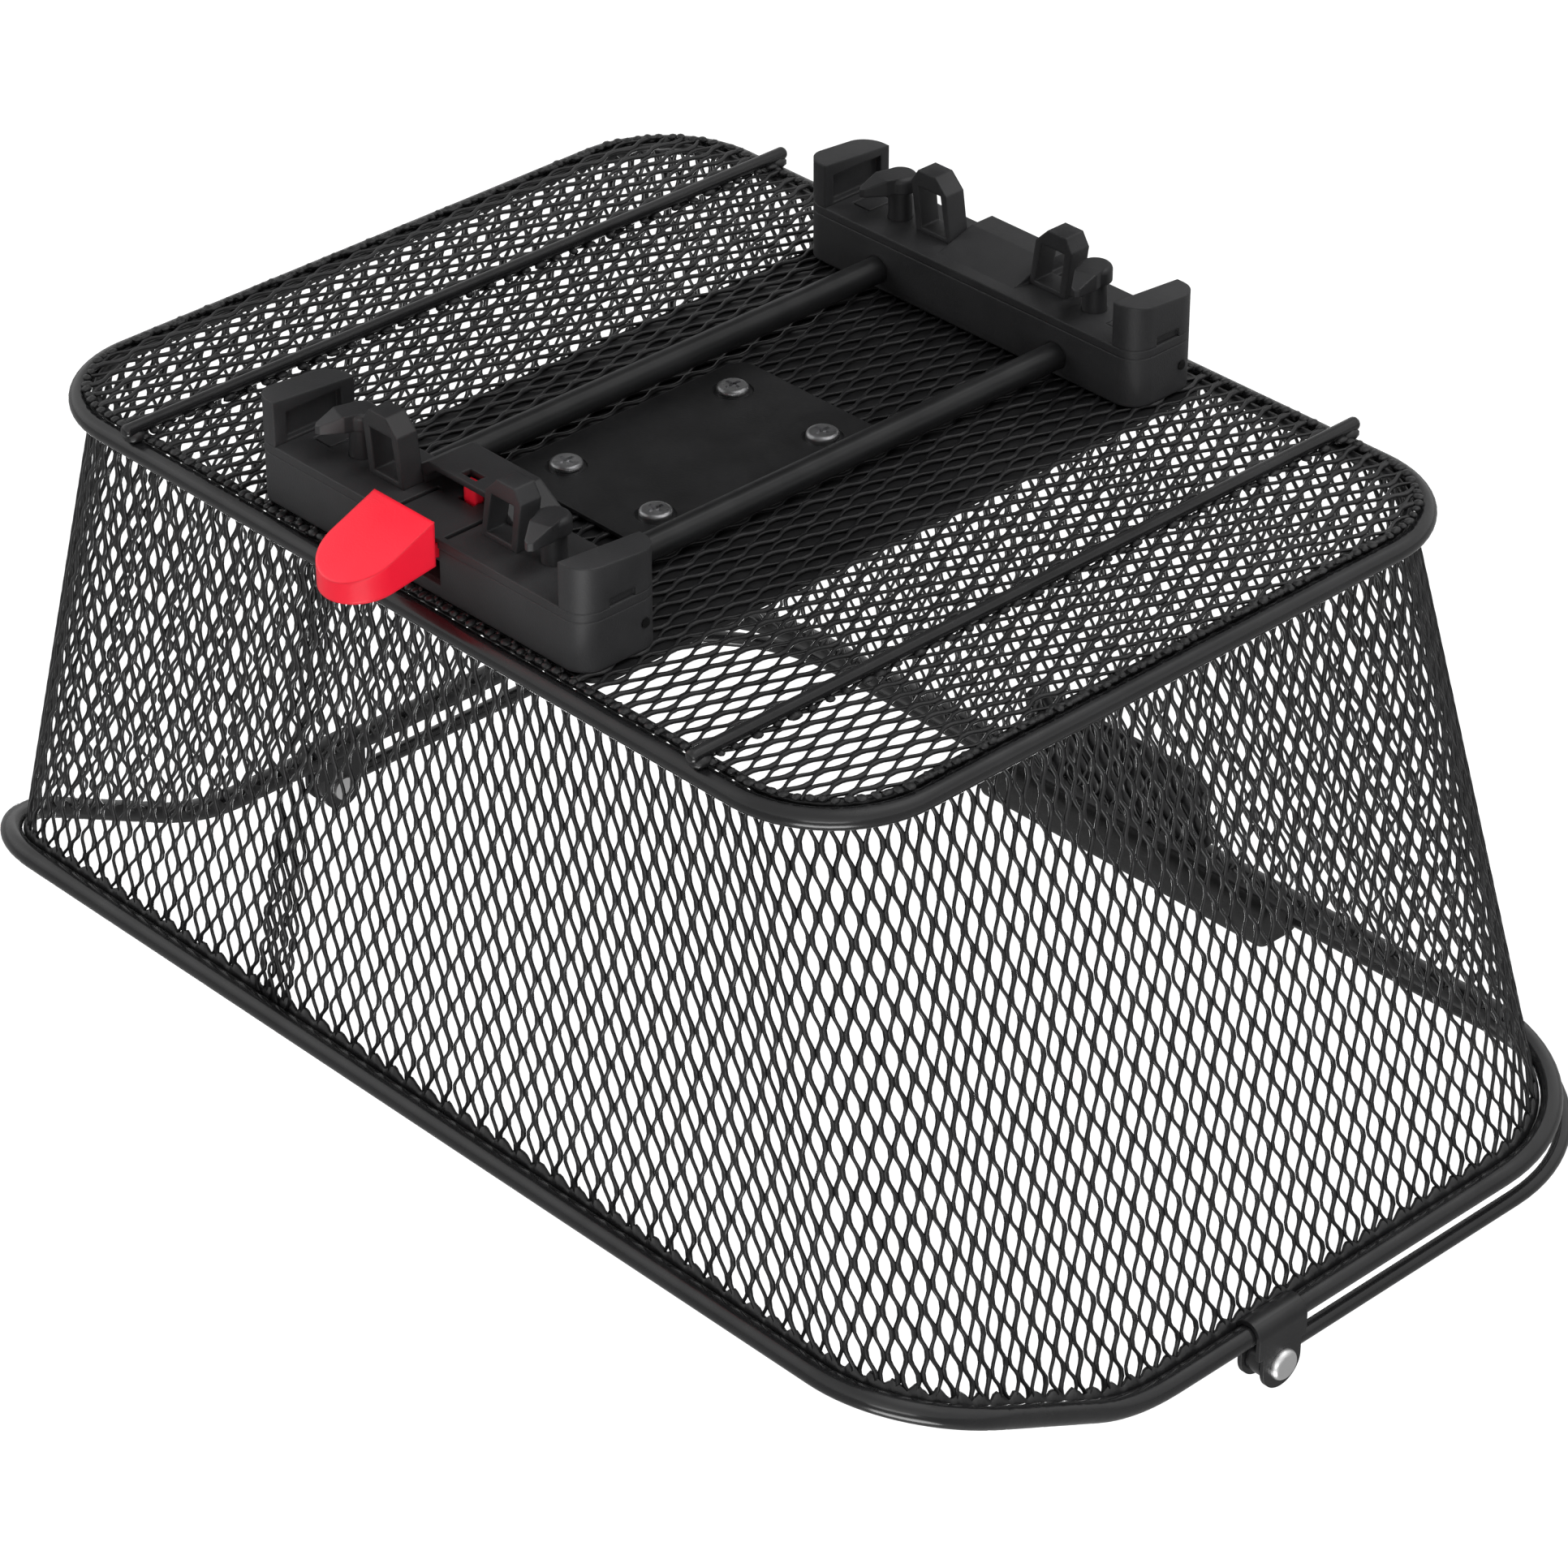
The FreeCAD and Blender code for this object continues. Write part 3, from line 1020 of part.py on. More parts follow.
# ---------------------------------------------------------------- hood
body = new_body("indicator_hood")
sk = new_sketch(body, "XZ_Plane", d("hood_front"))
hh, ht, hz = V["hood_half"], V["hood_top"], V["hood_high"]
draw_polygon(sk, [(-hh, 0.0, "-dims.hood_half", "0"), (-hh, -1.5, "-dims.hood_half", "-1.5"),
                  (-ht, -hz, "-dims.hood_top", "-dims.hood_high"),
                  (ht, -hz, "dims.hood_top", "-dims.hood_high"),
                  (hh, -1.5, "dims.hood_half", "-1.5"), (hh, 0.0, "dims.hood_half", "0")])
feature = pad(body, sk, "dims.hood_front - dims.hood_back")
if body.Shape.BoundBox.YMin < -V["hood_front"] - 0.5:
    feature.Reversed = True
    doc.recompute()
sk = new_sketch(body, "XZ_Plane", "dims.hood_front + 1")
draw_polygon(sk, [(-hh + 7.0, 0.5, "-dims.hood_half + 7", "0.5"),
                  (-hh + 7.0, -2.2, "-dims.hood_half + 7", "-2.2"),
                  (-ht + 2.6, -hz + 1.6, "-dims.hood_top + 2.6", "-dims.hood_high + dims.hood_wall"),
                  (ht - 2.6, -hz + 1.6, "dims.hood_top - 2.6", "-dims.hood_high + dims.hood_wall"),
                  (hh - 7.0, -2.2, "dims.hood_half - 7", "-2.2"),
                  (hh - 7.0, 0.5, "dims.hood_half - 7", "0.5")])
pocket(body, sk, "dims.hood_front + 1 - dims.hood_back - 2 * dims.hood_wall")
sk = new_sketch(body, "XY_Plane", "-dims.hood_high - 1")
plain_rect(sk, -3.0, 3.0, -97.2, -93.9, ["-3", "3", "-dims.flag_front - 0.2", "-dims.flag_back + 0.3"])
pocket(body, sk, 4.0)
sk = new_sketch(body, "XY_Plane", -0.5)
plain_rect(sk, -hh, hh, -V["bar_front_back"] + 0.15, -V["hood_back"],
           ["-dims.hood_half", "dims.hood_half", "-dims.bar_front_back + 0.15", "-dims.hood_back"])
pad(body, sk, 7.5)

# ---------------------------------------------------------------- red lever
body = new_body("release_lever")
sk = new_sketch(body, "YZ_Plane", "-dims.lever_half")
root, tip = -V["lever_root"], -V["lever_tip"]
draw_polygon(sk, [(root, -7.2, "-dims.lever_root", "-7.2"), (root, 6.0, "-dims.lever_root", "6"),
                  (tip, 10.0, "-dims.lever_tip", "10"), (tip, 4.0, "-dims.lever_tip", "4")])
pad(body, sk, "2 * dims.lever_half")
# rounded tip in plan
sk = new_sketch(body, "XY_Plane", -20.0)
rad = V["lever_half"]
centre_y = tip + rad
outer = [(-rad - 4.0, centre_y), (-rad - 4.0, tip - 4.0), (rad + 4.0, tip - 4.0), (rad + 4.0, centre_y)]
lines = [(outer[3], (rad, centre_y)), (outer[0], outer[1]), (outer[1], outer[2]),
         (outer[2], outer[3]), ((-rad, centre_y), outer[0])]
for a, b in lines:
    sk.addGeometry(Part.LineSegment(Vector(a[0], a[1], 0), Vector(b[0], b[1], 0)), False)
circle = Part.Circle(Vector(0, centre_y, 0), Vector(0, 0, 1), rad)
sk.addGeometry(Part.ArcOfCircle(circle, math.pi, 2.0 * math.pi), False)
for one, other in (((0, 1), (3, 2)), ((1, 1), (4, 2)), ((1, 2), (2, 1)), ((2, 2), (3, 1)),
                   ((4, 1), (5, 1)), ((0, 2), (5, 2))):
    sk.addConstraint(Sketcher.Constraint("Coincident", one[0], one[1], other[0], other[1]))
fix_point(sk, 5, 3, "DistanceX", 0.0, "0")
fix_point(sk, 5, 3, "DistanceY", centre_y, "-dims.lever_tip + dims.lever_half")
number = sk.addConstraint(Sketcher.Constraint("Radius", 5, rad))
sk.setExpression("Constraints[%d]" % number, d("lever_half"))
for geo in (0, 2, 4):
    sk.addConstraint(Sketcher.Constraint("Horizontal", geo))
for geo in (1, 3):
    sk.addConstraint(Sketcher.Constraint("Vertical", geo))
fix_point(sk, 4, 1, "DistanceY", centre_y, "-dims.lever_tip + dims.lever_half")
fix_point(sk, 0, 2, "DistanceY", centre_y, "-dims.lever_tip + dims.lever_half")
fix_point(sk, 2, 1, "DistanceX", -rad - 4.0, "-dims.lever_half - 4")
fix_point(sk, 2, 1, "DistanceY", tip - 4.0, "-dims.lever_tip - 4")
fix_point(sk, 2, 2, "DistanceX", rad + 4.0, "dims.lever_half + 4")
pocket(body, sk, 40.0)
# neck, hub and crank
sk = new_sketch(body, "YZ_Plane", "-dims.lever_neck")
draw_polygon(sk, [(root - 0.5, -4.4, "-dims.lever_root - 0.5", "-4.4"),
                  (-117.0, -4.4, "-dims.bar_front - 0.5", "-4.4"),
                  (-117.0, 1.9, "-dims.bar_front - 0.5", "1.9"),
                  (-104.0, 1.9, "-dims.hinge_y", "1.9"),
                  (-104.0, 8.6, "-dims.hinge_y", "8.6"),
                  (root - 0.5, 5.6, "-dims.lever_root - 0.5", "5.6")])
pad(body, sk, "2 * dims.lever_neck")
sk = new_sketch(body, "YZ_Plane", "-dims.hub_half")
draw_circle(sk, -V["hinge_y"], V["hinge_level"], V["hub_rad"], "-dims.hinge_y", d("hinge_level"),
            d("hub_rad"))
pad(body, sk, "2 * dims.hub_half")
turn = math.radians(V["crank_turn"])
cy = -V["hinge_y"] - V["crank_long"] * math.sin(turn)
cz = V["hinge_level"] + V["crank_long"] * math.cos(turn)
e_cy = "-dims.hinge_y - dims.crank_long * sin(dims.crank_turn * 1 deg)"
e_cz = "dims.hinge_level + dims.crank_long * cos(dims.crank_turn * 1 deg)"
sk = new_sketch(body, "YZ_Plane", "-dims.crank_half")
draw_circle(sk, cy, cz, V["crank_rad"], e_cy, e_cz, d("crank_rad"))
pad(body, sk, "2 * dims.crank_half")
sk = new_sketch(body, "YZ_Plane", "-dims.crank_half")
draw_polygon(sk, [(-V["hinge_y"] - 2.4, V["hinge_level"], "-dims.hinge_y - 2.4", d("hinge_level")),
                  (-V["hinge_y"] + 1.8, V["hinge_level"], "-dims.hinge_y + 1.8", d("hinge_level")),
                  (cy + 1.5, cz, e_cy + " + 1.5", e_cz), (cy - 1.5, cz, e_cy + " - 1.5", e_cz)])
pad(body, sk, "2 * dims.crank_half")
sk = new_sketch(body, "YZ_Plane", -13.0)
draw_circle(sk, -V["hinge_y"], V["hinge_level"], V["hinge_pin_rad"] + 0.05,
            "-dims.hinge_y", d("hinge_level"), "dims.hinge_pin_rad + 0.05")
pocket(body, sk, 26.0)

node(cylinder(("-14.8", "-dims.hinge_y", d("hinge_level")), d("hinge_pin_rad"), 29.6, *ALONG_X),
     "lever_pin")

# ---------------------------------------------------------------- tubes and rods
for side, word in ((-1, "left"), (1, "right")):
    ex = "%d * dims.tube_x" % side
    skin = cylinder((ex, "-dims.tube_front", d("mech_level")), d("tube_rad"),
                    "dims.tube_front + dims.tube_rear", *ALONG_Y)
    bore = cylinder((ex, "-dims.tube_front - 1", d("mech_level")), d("tube_bore"),
                    "dims.tube_front + dims.tube_rear + 2", *ALONG_Y)
    node(cut(skin, bore), "tube_" + word)

slot_front = "-dims.claw_front_y - dims.pin_circle * sin(dims.pin_turn * 1 deg)"
slot_rear = "dims.claw_rear_y - dims.pin_circle * sin(dims.pin_turn * 1 deg)"
slot_start = {1: "dims.claw_x + 0.7", -1: "-dims.claw_x - 0.7 - 3.4"}
for side, word in ((-1, "left"), (1, "right")):
    ex = "%d * dims.tube_x" % side
    bar_rod = cylinder((ex, "-dims.yoke_back", d("mech_level")), d("rod_rad"),
                       "dims.yoke_back + dims.claw_rear_y - 5", *ALONG_Y)
    x_start = "dims.tube_x - 3.5" if side > 0 else "-dims.yoke_half"
    paddle = box((x_start, "dims.claw_rear_y - 6", "dims.mech_level - dims.mech_half"),
                 ("dims.yoke_half - dims.tube_x + 3.5", 7.2, "2 * dims.mech_half"))
    slot = box((slot_start[side], slot_rear + " - dims.slot_half",
                "dims.mech_level - 4"), (3.4, "2 * dims.slot_half", 8.0))
    node(cut(fuse([bar_rod, paddle]), slot), "push_rod_" + word)

yoke = box(("-dims.yoke_half", "-dims.yoke_front", "dims.mech_level - dims.mech_half"),
           ("2 * dims.yoke_half", "dims.yoke_front - dims.yoke_back", "2 * dims.mech_half"))
windows = [box((slot_start[side], slot_front + " - dims.slot_half", "dims.mech_level - 4"),
               (3.4, "2 * dims.slot_half", 8.0)) for side in (-1, 1)]
windows.append(box(("-dims.crank_half - 0.5", e_cy + " - dims.crank_rad - 0.45", "dims.mech_level - 4"),
                   ("2 * dims.crank_half + 1", "2 * dims.crank_rad + 0.9", 8.0)))
node(cut(yoke, windows), "push_yoke")

arm = box(("-dims.flag_half", "-dims.yoke_back", "dims.mech_level - dims.mech_half"),
          ("2 * dims.flag_half", "dims.yoke_back - dims.flag_back", "2 * dims.mech_half"))
stem = box(("-dims.flag_half", "-dims.flag_front", "-dims.flag_low"),
           ("2 * dims.flag_half", "dims.flag_front - dims.flag_back",
            "dims.flag_low + dims.mech_level"))
node(fuse([arm, stem]), "indicator_flag")


# ---------------------------------------------------------------- lever pin clips
clips = []
for side in (-1, 1):
    ring = doc.addObject("Part::Torus", fresh("clip"))
    ring.Radius2 = 0.45
    ring.setExpression("Radius1", "dims.hinge_pin_rad + 0.45")
    place(ring, ("%d * 13.2" % side, "-dims.hinge_y", d("hinge_level")), *ALONG_X)
    clips.append(ring)
node(group(clips), "pin_clips")

# ---------------------------------------------------------------- bar screws
bar_screws = []
for name in ("front", "rear"):
    bar = BARS[name]
    e_boss = bar["eclaw"] + (" - 1" if name == "front" else " + 1")
    for side in (-1, 1):
        ex = "%d * dims.mount_screw_x" % side
        top = "dims.inner_plate_low + dims.inner_plate_thick"
        head = cylinder((ex, e_boss, top + " + 0.05"), 3.6, 2.2)
        level = V["inner_plate_low"] + V["inner_plate_thick"] + 0.05 + 2.2
        head = rounded_edges(head, 1.0, lambda e, m, level=level: abs(m.z - level) < 0.01
                             and e.Length > 5)
        shank = cylinder((ex, e_boss, "dims.cover_high + 3"), "dims.mount_screw_rad - 0.02",
                         "dims.inner_plate_low + dims.inner_plate_thick + 0.3 - dims.cover_high - 3")
        cross = [box((ex + " - 2.2", e_boss + " - 0.5", top + " + 1.2"), (4.4, 1.0, 2.0)),
                 box((ex + " - 0.5", e_boss + " - 2.2", top + " + 1.2"), (1.0, 4.4, 2.0))]
        bar_screws.append(cut(fuse([head, shank]), cross))
node(group(bar_screws), "bar_screws")

# ---------------------------------------------------------------- checks and export
doc.recompute()
for obj in doc.Objects:
    state = [word for word in obj.State if word in ("Invalid", "Error")]
    if state:
        raise RuntimeError("%s (%s) is %s" % (obj.Name, obj.Label, state))
for obj in NODES:
    shape = obj.Shape
    if shape.isNull() or not shape.isValid() or shape.Volume <= 0.0:
        raise RuntimeError("bad shape: " + obj.Label)

os.makedirs("parts", exist_ok=True)
for old in os.listdir("parts"):
    if old.endswith(".step"):
        os.remove(os.path.join("parts", old))
for obj in NODES:
    obj.Shape.exportStep(os.path.join("parts", obj.Label + ".step"))
    b = obj.Shape.BoundBox
    print("%-20s vol %10.1f solids %d  x %.1f..%.1f y %.1f..%.1f z %.1f..%.1f" % (
        obj.Label, obj.Shape.Volume, len(obj.Shape.Solids), b.XMin, b.XMax, b.YMin, b.YMax,
        b.ZMin, b.ZMax))
print("nodes", len(NODES))
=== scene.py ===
import json
import math

import bpy
import numpy as np
from mathutils import Matrix, Vector


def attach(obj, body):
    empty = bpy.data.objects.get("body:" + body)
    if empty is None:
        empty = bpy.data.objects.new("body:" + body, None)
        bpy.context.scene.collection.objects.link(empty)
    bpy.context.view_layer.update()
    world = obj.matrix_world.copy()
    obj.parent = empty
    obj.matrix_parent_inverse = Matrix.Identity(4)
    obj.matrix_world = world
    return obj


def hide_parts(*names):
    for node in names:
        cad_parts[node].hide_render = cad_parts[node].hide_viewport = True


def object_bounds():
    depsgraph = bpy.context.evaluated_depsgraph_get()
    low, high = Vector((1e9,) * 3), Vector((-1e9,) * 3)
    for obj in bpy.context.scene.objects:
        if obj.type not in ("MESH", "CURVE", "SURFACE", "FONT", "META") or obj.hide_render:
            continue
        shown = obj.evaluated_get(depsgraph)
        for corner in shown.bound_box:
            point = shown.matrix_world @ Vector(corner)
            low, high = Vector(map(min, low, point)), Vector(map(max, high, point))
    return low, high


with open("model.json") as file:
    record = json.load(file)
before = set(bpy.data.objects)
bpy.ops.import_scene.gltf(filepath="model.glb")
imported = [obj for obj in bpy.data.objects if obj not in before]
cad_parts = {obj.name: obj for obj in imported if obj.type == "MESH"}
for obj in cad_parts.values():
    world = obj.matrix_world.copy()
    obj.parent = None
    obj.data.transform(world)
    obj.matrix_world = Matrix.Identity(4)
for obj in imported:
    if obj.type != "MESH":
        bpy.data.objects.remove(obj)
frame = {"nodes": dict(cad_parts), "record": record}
cad_bounds = [list(corner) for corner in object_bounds()]
NODES = frame["nodes"]
MM = 0.001       # metres per millimetre; the mesh maths below is in millimetres
rng = np.random.default_rng(7)

# ------------------------------------------------------------------ camera
FOCAL_PX, FRAME_PX = 6992.0, 1932.0
cam_data = bpy.data.cameras.new("camera")
cam_data.sensor_width = 36.0
cam_data.lens = cam_data.sensor_width * FOCAL_PX / FRAME_PX
cam_data.clip_end = 20.0
cam = bpy.data.objects.new("camera", cam_data)
right = Vector((-0.6873, 0.7264, 0.0013)).normalized()
up = Vector((0.3924, 0.3728, -0.8408)).normalized()
back = right.cross(up).normalized()
up = back.cross(right).normalized()
spin = Matrix((right, up, back)).transposed().to_4x4()
cam.matrix_world = Matrix.Translation(Vector((-0.9951, -0.9239, -0.7425))) @ spin
bpy.context.scene.collection.objects.link(cam)
bpy.context.scene.camera = cam


# ------------------------------------------------------------------ materials
def material(name, color, rough, metal=0.0, grain=None, tint=0.0, rough_var=0.0, edge_lighten=0.0,
             coat=0.0, specular=0.5, edge_round=0.0):
    """Principled surface with noise-driven colour, roughness and bump.
    grain is a list of (scale, height in metres, detail)."""
    mat = bpy.data.materials.new(name)
    mat.use_nodes = True
    tree = mat.node_tree
    nodes, links = tree.nodes, tree.links
    bsdf = nodes["Principled BSDF"]
    bsdf.inputs["Base Color"].default_value = (*color, 1.0)
    bsdf.inputs["Roughness"].default_value = rough
    bsdf.inputs["Metallic"].default_value = metal
    bsdf.inputs["Coat Weight"].default_value = coat
    bsdf.inputs["Coat Roughness"].default_value = 0.12
    bsdf.inputs["Specular IOR Level"].default_value = specular
    coord = nodes.new("ShaderNodeTexCoord")
    if tint or edge_lighten:
        cloud = nodes.new("ShaderNodeTexNoise")
        cloud.inputs["Scale"].default_value = 55.0
        cloud.inputs["Detail"].default_value = 5.0
        links.new(coord.outputs["Object"], cloud.inputs["Vector"])
        ramp = nodes.new("ShaderNodeValToRGB")
        low = [max(0.0, c * (1.0 - tint)) for c in color]
        high = [min(1.0, c * (1.0 + tint) + 0.15 * tint * 0.05) for c in color]
        ramp.color_ramp.elements[0].position = 0.3
        ramp.color_ramp.elements[1].position = 0.72
        ramp.color_ramp.elements[0].color = (*low, 1.0)
        ramp.color_ramp.elements[1].color = (*high, 1.0)
        links.new(cloud.outputs["Fac"], ramp.inputs["Fac"])
        out = ramp.outputs["Color"]
        # colour lifted to a lighter tone on convex edges, driven by pointiness
        if edge_lighten:
            geo = nodes.new("ShaderNodeNewGeometry")
            edge = nodes.new("ShaderNodeMapRange")
            edge.inputs["From Min"].default_value = 0.54
            edge.inputs["From Max"].default_value = 0.68
            edge.inputs["To Max"].default_value = edge_lighten
            links.new(geo.outputs["Pointiness"], edge.inputs["Value"])
            mix = nodes.new("ShaderNodeMix")
            mix.data_type = "RGBA"
            mix.inputs["B"].default_value = (*[min(1.0, c * 1.8 + 0.02) for c in color], 1.0)
            links.new(edge.outputs["Result"], mix.inputs["Factor"])
            links.new(out, mix.inputs["A"])
            out = mix.outputs["Result"]
        links.new(out, bsdf.inputs["Base Color"])
    if rough_var:
        smear = nodes.new("ShaderNodeTexNoise")
        smear.inputs["Scale"].default_value = 90.0
        smear.inputs["Detail"].default_value = 6.0
        links.new(coord.outputs["Object"], smear.inputs["Vector"])
        span = nodes.new("ShaderNodeMapRange")
        span.inputs["From Min"].default_value = 0.3
        span.inputs["From Max"].default_value = 0.7
        span.inputs["To Min"].default_value = max(0.02, rough - rough_var)
        span.inputs["To Max"].default_value = min(1.0, rough + rough_var)
        links.new(smear.outputs["Fac"], span.inputs["Value"])
        links.new(span.outputs["Result"], bsdf.inputs["Roughness"])
    chain = None
    if edge_round:
        chain = nodes.new("ShaderNodeBevel")
        chain.samples = 5
        chain.inputs["Radius"].default_value = edge_round
    for scale, height, detail in grain or []:
        tex = nodes.new("ShaderNodeTexNoise")
        tex.inputs["Scale"].default_value = scale
        tex.inputs["Detail"].default_value = detail
        links.new(coord.outputs["Object"], tex.inputs["Vector"])
        bump = nodes.new("ShaderNodeBump")
        bump.inputs["Distance"].default_value = height
        bump.inputs["Strength"].default_value = 1.0
        links.new(tex.outputs["Fac"], bump.inputs["Height"])
        if chain is not None:
            links.new(chain.outputs["Normal"], bump.inputs["Normal"])
        chain = bump
    if chain is not None:
        links.new(chain.outputs["Normal"], bsdf.inputs["Normal"])
    return mat


MESH = material("mesh_coat", (0.0075, 0.0075, 0.008), 0.34, grain=[(900.0, 0.00004, 2.0)],
                tint=0.3, rough_var=0.07)
WIRE = material("wire_coat", (0.006, 0.006, 0.0065), 0.24, grain=[(420.0, 0.00003, 3.0)],
                tint=0.25, rough_var=0.05, coat=0.25)
SHEET = material("sheet_coat", (0.0085, 0.0085, 0.009), 0.38, grain=[(1300.0, 0.00003, 3.0)],
                 tint=0.25, rough_var=0.08, edge_round=0.0004)
TUBE = material("tube_coat", (0.008, 0.008, 0.0085), 0.4, grain=[(1500.0, 0.00003, 2.0)],
                tint=0.2, rough_var=0.06)
PLASTIC = material("adapter_grain", (0.0155, 0.0155, 0.0165), 0.52,
                   grain=[(2200.0, 0.00005, 3.0), (160.0, 0.00003, 2.0)],
                   tint=0.16, rough_var=0.06, edge_lighten=0.25, edge_round=0.0009)
CLAW = material("claw_grain", (0.017, 0.017, 0.018), 0.46, grain=[(1900.0, 0.00004, 3.0)],
                tint=0.16, rough_var=0.05, edge_lighten=0.3, edge_round=0.0008)
GRIP = material("grip_grain", (0.012, 0.012, 0.012), 0.6, grain=[(1200.0, 0.00007, 4.0)],
                tint=0.2, rough_var=0.06)
RED = material("lever_red", (0.86, 0.012, 0.035), 0.36, grain=[(1800.0, 0.00003, 3.0)],
               tint=0.06, rough_var=0.05, specular=0.45, edge_round=0.0012)
ZINC = material("zinc_plate", (0.62, 0.62, 0.63), 0.3, metal=1.0, grain=[(1400.0, 0.00002, 3.0)],
                tint=0.12, rough_var=0.09)
RIVET = material("rivet_metal", (0.78, 0.78, 0.78), 0.33, metal=1.0, grain=[(900.0, 0.00003, 3.0)],
                 tint=0.08, rough_var=0.08)
DARK = material("dark_pin", (0.05, 0.05, 0.05), 0.4, metal=1.0, grain=[(900.0, 0.00003, 3.0)],
                tint=0.1, rough_var=0.08)

BY_SLOT = {"black_mesh": MESH, "black_wire": WIRE, "black_sheet": SHEET, "zinc_steel": ZINC,
           "rivet_metal": RIVET, "dark_pin": DARK, "grip_plastic": GRIP,
           "adapter_plastic": PLASTIC, "jaw_plastic": PLASTIC, "claw_plastic": CLAW,
           "red_plastic": RED, "tube_black": TUBE}
for entry in frame["record"]["subparts"]:
    piece = NODES[entry["node"]]
    finish = BY_SLOT[entry["material_slot"]]
    if piece.material_slots:
        for spot in piece.material_slots:
            spot.material = finish
    else:
        piece.data.materials.append(finish)


def make_mesh(name, verts, faces, stands_for):
    """Coated mesh piece on the frame from arrays: verts in metres, faces as (n, 4)."""
    mesh = bpy.data.meshes.new(name)
    verts = np.asarray(verts, dtype=np.float32)
    faces = np.asarray(faces, dtype=np.int32)
    width = faces.shape[1]
    mesh.vertices.add(len(verts))
    mesh.vertices.foreach_set("co", verts.ravel())
    mesh.loops.add(faces.size)
    mesh.loops.foreach_set("vertex_index", faces.ravel())
    mesh.polygons.add(len(faces))
    mesh.polygons.foreach_set("loop_start", np.arange(len(faces), dtype=np.int32) * width)
    mesh.polygons.foreach_set("loop_total", np.full(len(faces), width, dtype=np.int32))
    mesh.update(calc_edges=True)
    mesh.polygons.foreach_set("use_smooth", np.full(len(faces), True))
    mesh.validate()
    mesh.materials.append(MESH)
    obj = bpy.data.objects.new(name, mesh)
    bpy.context.scene.collection.objects.link(obj)
    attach(obj, "frame")
    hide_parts(*stands_for)


# ------------------------------------------------------------------ expanded metal
STRAND_W = 1.42      # strand width, mm
STRAND_T = 1.05      # strand thickness, mm
STRAND_PITCH = 3.1   # mean distance between neighbouring strands, mm
LWD = 12.8           # long way of one opening, mm
STAGGER = 0.16       # neighbouring strands sit this far to either side of the sheet, mm
WALL_TILT, FLOOR_TILT = 0.55, 0.5    # twist of a strand out of the sheet, radians
SECTION = [(math.cos(a), math.sin(a)) for a in np.linspace(0, 2 * math.pi, 7)[:-1] + math.pi / 6]
HALF_ROW = [0.0, 0.17, 0.39, 0.61, 0.83]


def strand_offset(h, parity):
    """Sideways place of a strand, in pitches, at h half rows: it leans to one neighbour at even
    bonds and to the other at odd ones."""
    amp = 0.305
    low = np.floor(h)
    t = np.clip((h - low - 0.16) / 0.68, 0.0, 1.0)
    ease = t * t * (3.0 - 2.0 * t) * 0.45 + t * 0.55
    sign = np.where((low.astype(int) + parity) % 2 == 0, 1.0, -1.0)
    return amp * sign * (1.0 - 2.0 * ease)


def half_width(h):
    """Half the strand width at h half rows: strands are wider at their bonds."""
    return 0.5 * STRAND_W * (1.0 + 0.16 * (np.abs(h - np.round(h)) < 0.2))


def steps_for(rows):
    """Places along a strand, in half rows, where it gets a ring of vertices."""
    marks = []
    for r in range(rows):
        marks.extend(r + f for f in HALF_ROW[1:])
    return np.array([0.0] + marks + [float(rows)])


def tubes(centres, sides, outs):
    """Closed strand bodies from (strands, steps, 3) arrays; sides and outs are half widths."""
    count, steps, _ = centres.shape
    ring = len(SECTION)
    verts = np.zeros((count, steps, ring, 3))
    for i, (a, b) in enumerate(SECTION):
        verts[:, :, i, :] = centres + sides * a + outs * b
    index = np.arange(count * steps * ring).reshape(count, steps, ring)
    a = index[:, :-1, :]
    b = index[:, 1:, :]
    quads = np.stack([a, np.roll(a, -1, axis=2), np.roll(b, -1, axis=2), b], axis=-1)
    quads = quads.reshape(-1, 4)
    caps = []
    for end, order in ((0, (0, 3, 2, 1)), (steps - 1, (0, 1, 2, 3))):
        loop = index[:, end, :]
        caps.append(np.stack([loop[:, order[0]], loop[:, order[1]], loop[:, order[2]],
                              loop[:, order[3]]], axis=-1))
        tail = [0, 5, 4, 3] if end == 0 else [0, 3, 4, 5]
        caps.append(np.stack([loop[:, j] for j in tail], axis=-1))
    return verts.reshape(-1, 3) * MM, np.concatenate([quads] + caps)


